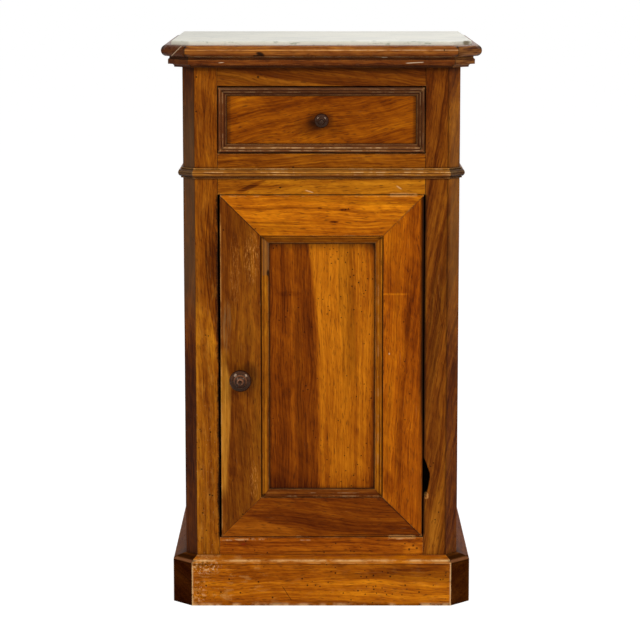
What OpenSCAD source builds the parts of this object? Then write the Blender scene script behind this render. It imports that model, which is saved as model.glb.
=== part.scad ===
// Bedside pot cupboard in walnut with a marble top, in millimetres.
// Front is -Y and up is +Z. The origin lies on the floor, below the middle of the bounding box.
// Inside the modules y = 0 is the front face of the posts; in_place() moves that to the origin's frame.
// A moulding's profile is drawn with x as its projection from the carcass and y as its height.

/* [Overall] */
// Height from the floor to the top of the marble
total_h = 805; // [780:1:900]
// Width of the carcass between its side faces
body_w = 390; // [350:1:450]
// Depth of the carcass behind the front of its posts
body_d = 340; // [300:1:400]
// Leg of the 45 degree cant on the front corners
cant = 17; // [12:1:22]

/* [Marble top] */
// Thickness of the slab
marble_t = 20; // [15:1:24]
// Overhang of the slab beyond the carcass at front and sides
marble_over = 15; // [13:0.5:17]
// Height of the slab above the top moulding
marble_proud = 5.5; // [3:0.5:8]

/* [Top moulding] */
// Projection of the bullnose
nose_p = 29; // [27:0.5:34]
// Height of the bullnose
nose_h = 16; // [10:0.5:18]
// Projection of the quirk under the bullnose
quirk_p = 17.5; // [15.5:0.5:19]
// Height of the quirk
quirk_h = 4.1; // [3:0.1:6]
// Projection of the fascia
fascia_p = 19.5; // [19:0.5:24]
// Height of the fascia
fascia_h = 6.7; // [4:0.1:8]
// Radius of the cove under the fascia
cove_r = 4.3; // [3:0.1:6]
// Projection of the cove's upper edge
cove_p = 15.2; // [12:0.1:18]

/* [Front frame] */
// Width of a post's flat face beside the opening
stile_flat = 32; // [26:1:40]
// Depth of the posts
post_d = 40; // [34:1:46]
// Thickness of the front rails
rail_t = 22; // [21:1:28]
// Height of the top rail
top_rail_h = 43; // [38:1:55]
// Height of the drawer opening
drawer_open_h = 94.3; // [80:0.1:110]
// Height of the middle rail
mid_rail_h = 57.4; // [50:0.1:65]
// Bottom rail above the plinth
bottom_rail_show = 25.5; // [18:0.5:35]
// Bottom rail hidden behind the plinth
bottom_rail_hidden = 30; // [20:1:40]
// Thickness of the rail tenons
tenon_t = 8; // [6:0.5:10]
// Length of the rail tenons
tenon_l = 26; // [15:1:28]
// Setback of the tenons from the front
tenon_set = 7; // [5:0.5:9]
// Shoulder above and below each tenon
tenon_shoulder = 8; // [5:0.5:10]

/* [Sides and back] */
// Thickness of the side boards
side_t = 14; // [12:0.5:18]
// Thickness of the tongue that joins a side board to its post
tongue_t = 5; // [4:0.5:6]
// Length of that tongue
tongue_l = 8; // [5:0.5:12]
// Thickness of the back boards
back_t = 8; // [6:0.5:12]
// Width of the rebate that takes the back boards
rebate_w = 7; // [4:0.5:9]
// Gap between the back boards' lower ends and the floor
back_lift = 14; // [8:1:30]
// Number of back boards
back_boards = 3; // [3]
// Thickness of the back top rail
back_rail_t = 20; // [16:1:24]
// Height of the back top rail
back_rail_h = 40; // [30:1:50]
// Radius of a back nail's head
nail_head_r = 3.5; // [2.5:0.5:5]
// Radius of a back nail's shank
nail_r = 1.3; // [1:0.1:1.8]
// Length of a back nail
nail_l = 22; // [18:1:26]
// Distance from a back board's edge to its nails
nail_inset = 18; // [12:1:30]

/* [String course] */
// Height of the string course
string_h = 14.6; // [12:0.2:18]
// Height of its middle above the middle of the rail
string_lift = 1; // [-10:0.5:10]
// Projection of its nose
string_p = 7; // [6.6:0.1:9]
// Projection of its fillets
string_fillet_p = 3.2; // [2.5:0.1:4]
// Height of each fillet
string_fillet_h = 1.6; // [1:0.1:2.2]
// Width of the groove between nose and fillet
string_groove = 0.5; // [0.3:0.1:0.8]

/* [Plinth] */
// Height of the plinth with its moulded edge
plinth_h = 70.5; // [60:0.5:85]
// Projection of the plinth
plinth_p = 18; // [14:0.5:24]
// Radius of the ovolo on the plinth's upper edge
plinth_ovolo_r = 4.4; // [3:0.1:6]
// Height of the step above the ovolo
plinth_step = 0.6; // [0.4:0.1:1.2]
// Fall of the plinth's sloping top
plinth_fall = 4; // [2:0.1:6]

/* [Drawer] */
// Gap at each side of the drawer
drawer_side_gap = 1.2; // [0.8:0.1:2]
// Gap above and below the drawer front
drawer_front_gap = 1.5; // [1:0.1:2.5]
// Thickness of the drawer front behind its mouldings
drawer_front_t = 18; // [16:0.5:22]
// Setback of the drawer's panel behind the posts
drawer_panel_set = 4; // [3:0.5:5]
// Gap between the drawer's back and the back boards
drawer_end_gap = 24; // [4:1:60]
// Thickness of the drawer sides and back
drawer_side_t = 10; // [8:0.5:12]
// Drop of the drawer sides below the top of the front
drawer_side_drop = 2; // [1:0.5:6]
// Drop of the drawer back below the sides
drawer_back_drop = 6; // [3:0.5:12]
// Thickness of the drawer bottom
drawer_bottom_t = 6; // [5:0.5:8]
// Height of the drawer bottom above the lower edge of the sides
drawer_bottom_rise = 6; // [5:0.5:9]
// Depth of the grooves that hold the drawer bottom
drawer_groove = 5; // [3:0.5:6]
// Length of the dovetails let into the drawer front
lap_l = 12; // [9:0.5:14]
// Number of dovetails at each corner
tails = 3; // [2:1:4]
// Width of a dovetail's neck as a share of its pitch
tail_share = 0.5; // [0.4:0.05:0.6]
// Spread of a dovetail over its length
tail_spread = 2; // [1:0.5:3]
// Width of the drawer's applied moulding
drawer_mould_w = 12; // [11:0.5:16]

/* [Drawer running] */
// Width of the runners and kickers inside the opening's edge
runner_lip = 16; // [12:0.5:24]
// Thickness of the runners
runner_t = 18; // [14:0.5:22]
// Thickness of the kickers above the drawer
kicker_t = 16; // [12:0.5:20]
// Height of the side guides
guide_h = 18; // [12:0.5:30]
// Thickness of the dust board
dust_t = 6; // [5:0.5:8]
// Depth of the runners' grooves for the dust board
dust_groove = 6; // [4:0.5:8]

/* [Inside] */
// Thickness of the cupboard floor
floor_t = 12; // [10:0.5:16]
// Depth of the housings for the cupboard floor
floor_housing = 5; // [3:0.5:7]
// Height of the shelf's top above the cupboard floor
shelf_rise = 252; // [180:1:300]
// Thickness of the shelf
shelf_t = 14; // [10:0.5:18]
// Gap between the shelf and the front posts
shelf_set = 4; // [2:0.5:40]
// Side of the square shelf cleats
cleat = 15; // [12:0.5:22]

/* [Door] */
// Gap at the door's latch side
door_gap_latch = 3; // [2:0.1:4]
// Gap at the door's hinge side
door_gap_hinge = 1.5; // [1.4:0.1:2.5]
// Gap above and below the door
door_gap_end = 1.4; // [1:0.1:2.5]
// Thickness of the door frame
door_t = 20; // [18:0.5:22]
// Width of the door frame
door_frame_w = 57; // [50:0.5:64]
// Setback of the door panel behind the frame's face
panel_set = 8.4; // [7:0.1:9.5]
// Thickness of the door panel
panel_t = 7; // [5:0.5:8]
// Depth of the frame's groove for the panel
panel_groove = 7; // [5:0.5:9]
// Width of the door's inner moulding
door_mould_w = 12; // [11:0.5:16]
// Width of the door stop
stop_w = 36; // [24:1:60]
// Height of the door stop
stop_h = 12; // [8:0.5:18]
// Depth of the door stop
stop_d = 14; // [10:0.5:20]

/* [Hinges] */
// Distance of the pivot from the door's hinge edge
pivot_in = 12; // [10:0.5:14]
// Distance of the pivot behind the door's face
pivot_back = 5.5; // [5:0.1:5.6]
// Length of a leaf beyond its pivot
leaf_l = 36; // [30:1:50]
// Width of a leaf
leaf_w = 8; // [7:0.2:9]
// Thickness of a leaf
leaf_t = 2.5; // [2:0.1:3]
// Radius of a hinge pin
pin_r = 2; // [1.5:0.1:2.5]
// Distances of the leaf screws from the pivot
leaf_screw_x = [14, 28];
// Radius of a screw's head
screw_head_r = 2.8; // [2.4:0.1:3.2]
// Radius of a screw's shank
screw_r = 1.3; // [1:0.1:1.5]
// Length of a screw
screw_l = 15; // [12:0.5:20]

/* [Knobs and latch] */
// Greatest radius of the drawer knob
drawer_knob_r = 10.4; // [9:0.1:12]
// Reach of the drawer knob from the drawer's panel
drawer_knob_reach = 27; // [22:0.5:32]
// Greatest radius of the door knob
door_knob_r = 15.8; // [14:0.1:18]
// Reach of the door knob from the door's face
door_knob_reach = 34.5; // [30:0.5:40]
// Height of the door knob above the cupboard floor
door_knob_rise = 232; // [180:1:300]
// Radius of the latch spindle
spindle_r = 3.5; // [3:0.1:4]
// Thickness of the latch tongue
tongue_plate_t = 3; // [2:0.1:3.2]
// Width of the latch tongue
tongue_plate_w = 12; // [10:0.5:14]
// Reach of the turned tongue behind the post's edge
latch_bite = 5; // [3:0.5:6]

/* [Hidden] */
$fn = 64;

// Named clearances
fit = 0.2;              // wood in a mortise, groove or housing
close_fit = 0.1;        // pin, nail and screw holes
rub = 0.4;              // between a turning piece and the wood beside it
mortise_spare = 1;      // how much deeper a mortise is than its tenon is long
over = 1;               // how far a cutter runs past what it cuts

// Plan of the carcass
mitre_lean = tan(22.5); // sideways lean of a cant's mitre for each millimetre of projection
half_w = body_w / 2;
flat_half = half_w - cant;
open_half = flat_half - stile_flat;
inner_half = half_w - side_t;
back_y = body_d - back_t;
back_rail_y = back_y - back_rail_t;
front_reach = max(door_knob_reach, nose_p, drawer_knob_reach - drawer_panel_set);

// Heights, from the floor up and from the marble down
carcass_top = total_h - marble_t;
top_rail_z = carcass_top - top_rail_h;
mid_rail_top = top_rail_z - drawer_open_h;
mid_rail_z = mid_rail_top - mid_rail_h;
floor_z = plinth_h + bottom_rail_show;
bottom_rail_z = plinth_h - bottom_rail_hidden;
bottom_rail_h = bottom_rail_hidden + bottom_rail_show;
string_z = mid_rail_z + mid_rail_h / 2 + string_lift;

// Top moulding
nose_top = total_h - marble_proud;
nose_z = nose_top - nose_h;
nose_centre = nose_p - nose_h / 2;
fascia_top = nose_z - quirk_h;
fascia_z = fascia_top - fascia_h;
top_mould_z = fascia_z - cove_r;
marble_rebate = marble_over + rub;

// Drawer
drawer_half = open_half - drawer_side_gap;
drawer_in = drawer_half - drawer_side_t;
drawer_front_z = mid_rail_top + drawer_front_gap;
drawer_front_h = drawer_open_h - 2 * drawer_front_gap;
drawer_front_top = drawer_front_z + drawer_front_h;
drawer_front_back = drawer_panel_set + drawer_front_t;
drawer_side_top = drawer_front_top - drawer_side_drop;
drawer_end = back_y - drawer_end_gap;
drawer_back_y = drawer_end - drawer_side_t;
drawer_bottom_z = mid_rail_top + drawer_bottom_rise;
drawer_back_z = drawer_bottom_z + drawer_bottom_t + fit;
drawer_back_top = drawer_side_top - drawer_back_drop;
drawer_knob_z = drawer_front_z + drawer_front_h / 2;
drawer_spigot_r = 4;
drawer_spigot_l = 13;
runner_in = open_half - runner_lip;
dust_z = mid_rail_top - runner_t / 2 - dust_t / 2;

// Inside the cupboard
shelf_z = floor_z + shelf_rise - shelf_t;
shelf_y = post_d + shelf_set;

// Door
door_left = -open_half + door_gap_latch;
door_right = open_half - door_gap_hinge;
door_w = door_right - door_left;
door_x = (door_left + door_right) / 2;
door_z = floor_z + door_gap_end;
door_top = mid_rail_z - door_gap_end;
door_h = door_top - door_z;
door_mid_z = door_z + door_h / 2;
panel_w = door_w - 2 * door_frame_w;
panel_h = door_h - 2 * door_frame_w;
pivot_x = door_right - pivot_in;
door_knob_x = door_left + door_frame_w / 2;
door_knob_z = floor_z + door_knob_rise;
tongue_reach = door_knob_x + open_half + latch_bite;
tongue_back = door_t + rub + tongue_plate_t;
spindle_socket = door_knob_reach / 2;
rivet_t = 1.4;
rivet_r = 5.5;

// Back boards
back_half = inner_half + rebate_w - fit;
board_gap = 0.8;
board_w = (2 * back_half - (back_boards - 1) * board_gap) / back_boards;
nail_zs = [floor_z - floor_t / 2, carcass_top - back_rail_h / 2];

// Front rails: lower edge and height
top_rail_span = [top_rail_z, top_rail_h];
mid_rail_span = [mid_rail_z, mid_rail_h];
bottom_rail_span = [bottom_rail_z, bottom_rail_h];
rail_spans = [top_rail_span, mid_rail_span, bottom_rail_span];

// Colours
walnut = [0.55, 0.31, 0.10];
walnut_light = [0.70, 0.42, 0.14];
walnut_dark = [0.38, 0.20, 0.09];
mould_brown = [0.42, 0.20, 0.11];
poplar = [0.74, 0.60, 0.40];
ebonised = [0.13, 0.08, 0.06];
iron = [0.25, 0.24, 0.23];
brass = [0.70, 0.55, 0.28];
marble = [0.90, 0.89, 0.85];

// ---- Placing and shaping helpers ----

// From the posts' front face to the frame whose origin is below the middle of the bounding box
module in_place() {
    translate([0, (front_reach - body_d) / 2, 0]) children();
}

// s = 1 keeps the right-hand form and s = -1 gives the left-hand one
module on_side(s) {
    if (s > 0) children();
    else mirror([1, 0, 0]) children();
}

module both_sides() {
    children();
    mirror([1, 0, 0]) children();
}

// A block given by its lowest and highest corners
module block(low, high) {
    translate(low) cube(high - low);
}

// Plan corners of the carcass grown by a projection p: front end of the right cant, and its side end
function front_corner(p) = [flat_half + mitre_lean * p, -p];
function side_corner(p) = [half_w + p, cant - mitre_lean * p];
function flip(point) = [-point[0], point[1]];

// Wedges of the plan that hold one length of moulding each, cut along the mitres
function front_wedge(p) =
    [flip(front_corner(-over)), flip(front_corner(p)), front_corner(p), front_corner(-over)];
function cant_wedge(p) = [front_corner(-over), front_corner(p), side_corner(p), side_corner(-over)];
function side_wedge(p) = [side_corner(-over), side_corner(p), [half_w + p, body_d], [half_w - over, body_d]];

// A wedge of the plan, taller than the cupboard
module wedge(points) {
    translate([0, 0, -over]) linear_extrude(height = total_h + 2 * over) polygon(points);
}

// Lengths of moulding round the carcass, each with its profile as the child
module front_length(p) {
    intersection() {
        rotate([90, 0, -90]) linear_extrude(height = body_w + 4 * p, center = true) children();
        wedge(front_wedge(p + over));
    }
}

module cant_length(p) {
    intersection() {
        translate([half_w - cant / 2, cant / 2, 0]) rotate([90, 0, -45])
            linear_extrude(height = 4 * (cant + p), center = true) children();
        wedge(cant_wedge(p + over));
    }
}

module side_length(p) {
    intersection() {
        translate([half_w, body_d + over, 0]) rotate([90, 0, 0])
            linear_extrude(height = body_d + p + over) children();
        wedge(side_wedge(p + over));
    }
}

// The part of a disc on the far side of its centre
module half_disc(r) {
    intersection() {
        circle(r = r);
        translate([0, -r]) square([r, 2 * r]);
    }
}

// One member of a mitred frame along X, with its outer edge at z = 0 and its face towards -Y.
// The child is its profile: x runs inwards from the outer edge and y stands out towards the front.
module mitred_member(length, w) {
    inner = w + over;
    intersection() {
        rotate([0, -90, 180]) linear_extrude(height = length + 2 * over, center = true) children();
        rotate([90, 0, 0]) linear_extrude(height = 4 * door_t, center = true)
            polygon([
                [-length / 2 - over, -over], [length / 2 + over, -over],
                [length / 2 - inner, inner], [-length / 2 + inner, inner],
            ]);
    }
}

// The four members of a frame w by h round the origin
module bottom_member(w, h) {
    translate([0, 0, -h / 2]) children();
}

module top_member(w, h) {
    translate([0, 0, h / 2]) rotate([0, 180, 0]) children();
}

module left_member(w, h) {
    translate([-w / 2, 0, 0]) rotate([0, 90, 0]) children();
}

module right_member(w, h) {
    translate([w / 2, 0, 0]) rotate([0, -90, 0]) children();
}

// ---- Profiles ----

module top_profile() {
    difference() {
        union() {
            polygon([
                [0, top_mould_z], [cove_p, top_mould_z], [cove_p, fascia_z],
                [fascia_p, fascia_z], [fascia_p, fascia_top],
                [quirk_p, fascia_top], [quirk_p, nose_z],
                [nose_centre, nose_z], [nose_centre, nose_top],
                [marble_rebate, nose_top], [marble_rebate, carcass_top], [0, carcass_top],
            ]);
            translate([nose_centre, nose_z + nose_h / 2]) half_disc(nose_h / 2);
        }
        translate([cove_p, top_mould_z]) circle(r = cove_r);
    }
}

module string_profile() {
    nose_r = string_h / 2 - string_fillet_h - string_groove;
    groove_p = string_p - nose_r;
    fillet_z = string_h / 2 - string_fillet_h;
    translate([0, string_z]) union() {
        polygon([
            [0, -string_h / 2], [string_fillet_p, -string_h / 2], [string_fillet_p, -fillet_z],
            [groove_p, -fillet_z], [groove_p, fillet_z],
            [string_fillet_p, fillet_z], [string_fillet_p, string_h / 2], [0, string_h / 2],
        ]);
        translate([groove_p, 0]) half_disc(nose_r);
    }
}

module plinth_profile() {
    slope_z = plinth_h - plinth_fall;
    ovolo_z = slope_z - plinth_step - plinth_ovolo_r;
    ovolo_p = plinth_p - plinth_ovolo_r;
    union() {
        polygon([
            [0, 0], [plinth_p, 0], [plinth_p, ovolo_z],
            [ovolo_p, ovolo_z + plinth_ovolo_r], [ovolo_p, slope_z], [over, plinth_h], [0, plinth_h],
        ]);
        translate([ovolo_p, ovolo_z]) circle(r = plinth_ovolo_r);
    }
}

// Applied moulding of the drawer front: flat band, bead, slope down to the panel
module drawer_mould_profile() {
    bead_r = 1.2;
    top = drawer_panel_set + bead_r;
    bead_x = drawer_mould_w / 2 - bead_r / 2;
    toe = 1.4;
    union() {
        polygon([
            [0, 0], [drawer_mould_w, 0], [drawer_mould_w, toe], [drawer_mould_w - toe, toe],
            [bead_x + bead_r, top], [bead_x - bead_r, top], [0, top - bead_r],
        ]);
        translate([bead_x, top]) rotate(90) half_disc(bead_r);
    }
}

// Inner moulding of the door: bead at its outer edge, slope down to the panel
module door_mould_profile() {
    bead_r = 1.7;
    quirk = 0.4;
    quirk_z = panel_set - bead_r;
    toe = 1.4;
    union() {
        polygon([
            [0, 0], [door_mould_w, 0], [door_mould_w, toe], [door_mould_w - toe, toe],
            [2 * bead_r + 2 * quirk, quirk_z], [0, quirk_z],
        ]);
        translate([quirk + bead_r, quirk_z]) rotate(90) half_disc(bead_r);
    }
}

// Door frame member: a flat board with the panel's groove in its inner edge
module door_frame_profile() {
    difference() {
        translate([0, -door_t]) square([door_frame_w, door_t]);
        translate([door_frame_w - panel_groove, -panel_set - panel_t - fit])
            square([panel_groove + over, panel_t + fit]);
    }
}

// ---- Top ----

module marble_top() {
    p = marble_over;
    color(marble) in_place() translate([0, 0, carcass_top]) linear_extrude(height = marble_t)
        polygon([
            flip(front_corner(p)), front_corner(p), side_corner(p), [half_w + p, body_d],
            [-half_w - p, body_d], flip(side_corner(p)),
        ]);
}

module top_moulding_front() {
    color(mould_brown) in_place() front_length(nose_p) top_profile();
}

module top_moulding_cants() {
    color(mould_brown) in_place() both_sides() cant_length(nose_p) top_profile();
}

module top_moulding_side(s) {
    color(mould_brown) in_place() on_side(s) side_length(nose_p) top_profile();
}

// ---- Carcass ----

// A tenon at the right-hand end of a front rail, grown by a clearance g and a length spare
module tenon(span, g = 0, spare = 0) {
    block([open_half - over, tenon_set - g, span[0] + tenon_shoulder - g],
        [open_half + tenon_l + spare, tenon_set + tenon_t + g, span[0] + span[1] - tenon_shoulder + g]);
}

// The right-hand post. latch_slot adds the slot that the door's tongue turns into.
module post(latch_slot) {
    groove_x = half_w - side_t / 2;
    slot_h = tongue_reach + tongue_plate_w / 2;
    difference() {
        linear_extrude(height = carcass_top)
            polygon([
                [open_half, 0], [flat_half, 0], [half_w, cant],
                [half_w, post_d], [open_half, post_d],
            ]);
        for (span = rail_spans) tenon(span, fit, mortise_spare);
        block([groove_x - tongue_t / 2 - fit, post_d - tongue_l - fit, -over],
            [groove_x + tongue_t / 2 + fit, post_d + over, total_h]);
        if (latch_slot)
            block([open_half - over, door_t, door_knob_z - slot_h],
                [open_half + latch_bite + 2 * rub, tongue_back + rub + rivet_t,
                    door_knob_z + tongue_plate_w / 2 + 2 * rub]);
    }
}

module front_post(s) {
    color(walnut) in_place() on_side(s) post(s < 0);
}

// The right-hand side board
module board_of_side() {
    tongue_x = half_w - side_t / 2;
    difference() {
        union() {
            block([inner_half, post_d, 0], [half_w, body_d, carcass_top]);
            block([tongue_x - tongue_t / 2, post_d - tongue_l, 0],
                [tongue_x + tongue_t / 2, post_d + over, carcass_top]);
        }
        block([inner_half - over, back_y, -over], [inner_half + rebate_w, body_d + over, total_h]);
        block([inner_half - over, post_d - over, floor_z - floor_t - fit],
            [inner_half + floor_housing + fit, back_y + over, floor_z + fit]);
    }
}

module side_board(s) {
    color(walnut) in_place() on_side(s) board_of_side();
}

module front_rail(span) {
    block([-open_half, 0, span[0]], [open_half, rail_t, span[0] + span[1]]);
    both_sides() tenon(span);
}

module top_rail() {
    color(walnut_light) in_place() front_rail(top_rail_span);
}

module middle_rail() {
    color(walnut) in_place() difference() {
        front_rail(mid_rail_span);
        leaf_recess(mid_rail_z, 1);
    }
}

module bottom_rail() {
    color(walnut) in_place() difference() {
        front_rail(bottom_rail_span);
        leaf_recess(floor_z, -1);
    }
}

module back_top_rail() {
    color(poplar) in_place() difference() {
        block([-inner_half, back_rail_y, carcass_top - back_rail_h], [inner_half, back_y, carcass_top]);
        nails(close_fit);
    }
}

// ---- String course and plinth ----

module string_front() {
    color(mould_brown) in_place() front_length(string_p) string_profile();
}

module string_cants() {
    color(walnut_dark) in_place() both_sides() cant_length(string_p) string_profile();
}

module string_side(s) {
    color(mould_brown) in_place() on_side(s) side_length(string_p) string_profile();
}

module plinth_front() {
    color(walnut_light) in_place() front_length(plinth_p) plinth_profile();
}

module plinth_cants() {
    color(walnut_dark) in_place() both_sides() cant_length(plinth_p) plinth_profile();
}

module plinth_side(s) {
    color(walnut) in_place() on_side(s) side_length(plinth_p) plinth_profile();
}

// ---- Back ----

function board_x(i) = -back_half + i * (board_w + board_gap);

// All the back nails, grown by a clearance g. Their heads lie flush with the boards.
module nails(g) {
    head_t = 1.2;
    for (i = [0 : back_boards - 1], edge = [nail_inset, board_w - nail_inset], z = nail_zs)
        translate([board_x(i) + edge, body_d, z]) rotate([90, 0, 0]) {
            cylinder(r = nail_head_r + g, h = head_t + g);
            cylinder(r = nail_r + g, h = nail_l + g);
        }
}

module back_board(i) {
    color(poplar) in_place() difference() {
        block([board_x(i), back_y, back_lift], [board_x(i) + board_w, body_d, carcass_top]);
        nails(close_fit);
    }
}

module back_nails() {
    color(iron) in_place() nails(0);
}

// ---- Inside ----

// The cupboard floor, notched round the posts
module cupboard_floor() {
    tip = inner_half + floor_housing;
    notch_y = post_d + fit;
    color(walnut_dark) in_place() difference() {
        translate([0, 0, floor_z - floor_t]) linear_extrude(height = floor_t)
            polygon([
                [-open_half + fit, rail_t], [open_half - fit, rail_t], [open_half - fit, notch_y],
                [tip, notch_y], [tip, back_y], [-tip, back_y], [-tip, notch_y], [-open_half + fit, notch_y],
            ]);
        nails(close_fit);
    }
}

// Plan of the right-hand runner or kicker: it fills the space behind the post as far as y = end
module runner_plan(end) {
    polygon([
        [runner_in, rail_t], [open_half - fit, rail_t], [open_half - fit, post_d + fit],
        [inner_half, post_d + fit], [inner_half, end], [runner_in, end],
    ]);
}

module drawer_runners() {
    color(poplar) in_place() both_sides() difference() {
        translate([0, 0, mid_rail_top - runner_t]) linear_extrude(height = runner_t) runner_plan(back_y);
        block([runner_in - over, rail_t - over, dust_z - fit],
            [runner_in + dust_groove + fit, back_y + over, dust_z + dust_t + fit]);
    }
}

module drawer_kickers() {
    color(poplar) in_place() both_sides()
        translate([0, 0, top_rail_z]) linear_extrude(height = kicker_t) runner_plan(back_rail_y);
}

module drawer_guides() {
    color(poplar) in_place() both_sides()
        block([open_half, post_d + fit, mid_rail_top], [inner_half, back_y, mid_rail_top + guide_h]);
}

module dust_board() {
    half = runner_in + dust_groove;
    color(poplar) in_place() block([-half, rail_t, dust_z], [half, back_y, dust_z + dust_t]);
}

module shelf() {
    half = inner_half - fit;
    color(walnut) in_place() block([-half, shelf_y, shelf_z], [half, back_y - over, shelf_z + shelf_t]);
}

module shelf_cleats() {
    color(poplar) in_place() both_sides()
        block([inner_half - cleat, shelf_y, shelf_z - cleat], [inner_half, back_y - over, shelf_z]);
}

module door_stop() {
    left = door_left + stop_w / 2;
    color(walnut_dark) in_place()
        block([left, door_t + rub, floor_z], [left + stop_w, door_t + rub + stop_d, floor_z + stop_h]);
}

// ---- Drawer ----

// Side view of a row of dovetails between the heights low and high. They start at y = 0 and point to
// y = reach, which may be negative.
module dovetails(low, high, reach) {
    pitch = (high - low) / tails;
    neck = pitch * tail_share / 2;
    tip = neck + tail_spread / 2;
    for (i = [0 : tails - 1])
        translate([0, low + (i + 0.5) * pitch])
            polygon([[0, -neck], [0, neck], [reach, tip], [reach, -tip]]);
}

// The dovetails of the right-hand side at the front and at the back of the drawer
module tail_solids(g) {
    translate([drawer_in, 0, 0]) rotate([90, 0, 90]) linear_extrude(height = drawer_side_t + g) {
        translate([drawer_front_back, 0]) dovetails(drawer_front_z, drawer_side_top, -lap_l);
        translate([drawer_back_y, 0]) dovetails(drawer_back_z, drawer_back_top, drawer_side_t);
    }
}

// The groove for the drawer bottom, cut through front and sides
module bottom_groove() {
    block([-drawer_in - drawer_groove - fit, drawer_front_back - drawer_groove - fit, drawer_bottom_z],
        [drawer_in + drawer_groove + fit, drawer_end + over, drawer_bottom_z + drawer_bottom_t + fit]);
}

// The right-hand side of the drawer
module side_of_drawer() {
    difference() {
        union() {
            block([drawer_in, drawer_front_back, mid_rail_top], [drawer_half, drawer_back_y, drawer_side_top]);
            block([drawer_in, drawer_back_y - over, mid_rail_top], [drawer_half, drawer_end, drawer_back_z]);
            tail_solids(0);
        }
        bottom_groove();
    }
}

module drawer_side(s) {
    color(poplar) in_place() on_side(s) side_of_drawer();
}

module drawer_front() {
    color(walnut_light) in_place() difference() {
        block([-drawer_half, drawer_panel_set, drawer_front_z],
            [drawer_half, drawer_front_back, drawer_front_top]);
        both_sides() tail_solids(over);
        bottom_groove();
        translate([0, drawer_panel_set - over, drawer_knob_z]) rotate([-90, 0, 0])
            cylinder(r = drawer_spigot_r + close_fit, h = drawer_spigot_l + over + close_fit);
    }
}

module drawer_back() {
    color(poplar) in_place() difference() {
        block([-drawer_half, drawer_back_y, drawer_back_z], [drawer_half, drawer_end, drawer_back_top]);
        both_sides() tail_solids(over);
    }
}

module drawer_bottom() {
    half = drawer_in + drawer_groove;
    color(poplar) in_place()
        block([-half, drawer_front_back - drawer_groove, drawer_bottom_z],
            [half, drawer_end, drawer_bottom_z + drawer_bottom_t]);
}

// Frame of the drawer's applied moulding, centred on the drawer's panel
module at_drawer_panel() {
    color(mould_brown) in_place() translate([0, drawer_panel_set, drawer_knob_z]) children();
}

module drawer_mould(length) {
    mitred_member(length, drawer_mould_w) drawer_mould_profile();
}

module drawer_moulding_top() {
    at_drawer_panel() top_member(2 * drawer_half, drawer_front_h) drawer_mould(2 * drawer_half);
}

module drawer_moulding_bottom() {
    at_drawer_panel() bottom_member(2 * drawer_half, drawer_front_h) drawer_mould(2 * drawer_half);
}

module drawer_moulding_left() {
    at_drawer_panel() left_member(2 * drawer_half, drawer_front_h) drawer_mould(drawer_front_h);
}

module drawer_moulding_right() {
    at_drawer_panel() right_member(2 * drawer_half, drawer_front_h) drawer_mould(drawer_front_h);
}

// ---- Knobs, drawn with x as the radius and y as the height above the face they stand on ----

// The swelling of a knob: a ring of the given thickness, filled to its axis
module knob_bulb(r, thickness) {
    tube_r = thickness / 2;
    translate([r - tube_r, 0]) circle(r = tube_r);
    translate([0, -tube_r]) square([r - tube_r, thickness]);
}

module drawer_knob_outline() {
    foot_r = 6.5;
    foot_t = 2.4;
    neck_r = 4.6;
    bulb_t = 10;
    tip_r = 6.6;
    tip_t = 2;
    bulb_y = drawer_knob_reach - tip_t - bulb_t / 2;
    square([foot_r, foot_t]);
    square([neck_r, bulb_y]);
    translate([0, bulb_y]) knob_bulb(drawer_knob_r, bulb_t);
    translate([0, bulb_y]) square([tip_r, drawer_knob_reach - bulb_y]);
    translate([0, -drawer_spigot_l]) square([drawer_spigot_r, drawer_spigot_l]);
}

module drawer_knob() {
    dimple_r = 4;
    dimple_t = 1.4;
    color(ebonised) in_place() translate([0, drawer_panel_set, drawer_knob_z]) rotate([90, 0, 0])
        rotate_extrude() difference() {
            drawer_knob_outline();
            translate([0, drawer_knob_reach + dimple_r - dimple_t]) circle(r = dimple_r);
        }
}

module door_knob_outline() {
    foot_r = 10;
    foot_t = 2.6;
    ring_r = 8.2;
    ring_t = 2.4;
    neck_r = 6.6;
    bulb_t = 16.4;
    tip_r = 8.4;
    tip_t = 2.2;
    bulb_y = door_knob_reach - tip_t - bulb_t / 2;
    square([foot_r, foot_t]);
    translate([ring_r - ring_t / 2, foot_t + ring_t / 2]) circle(r = ring_t / 2);
    translate([0, foot_t]) square([ring_r - ring_t / 2, ring_t]);
    square([neck_r, bulb_y]);
    translate([0, bulb_y]) knob_bulb(door_knob_r, bulb_t);
    translate([0, bulb_y]) square([tip_r, door_knob_reach - bulb_y]);
}

// Frame of the latch: y = 0 is the door's face, and the spindle runs along Y
module at_latch() {
    in_place() translate([door_knob_x, 0, door_knob_z]) children();
}

module door_knob() {
    dimple_r = 5;
    dimple_t = 1.8;
    color(walnut_dark) at_latch() rotate([90, 0, 0]) difference() {
        rotate_extrude() difference() {
            intersection() {
                door_knob_outline();
                translate([0, rub]) square([door_knob_r, door_knob_reach]);
            }
            translate([0, door_knob_reach + dimple_r - dimple_t]) circle(r = dimple_r);
        }
        cylinder(r = spindle_r + close_fit, h = spindle_socket + close_fit);
    }
}

module latch_spindle() {
    color(iron) at_latch() {
        translate([0, tongue_back, 0]) rotate([90, 0, 0]) cylinder(r = spindle_r, h = tongue_back + spindle_socket);
        translate([0, tongue_back + rivet_t, 0]) rotate([90, 0, 0]) cylinder(r = rivet_r, h = rivet_t);
    }
}

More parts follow.
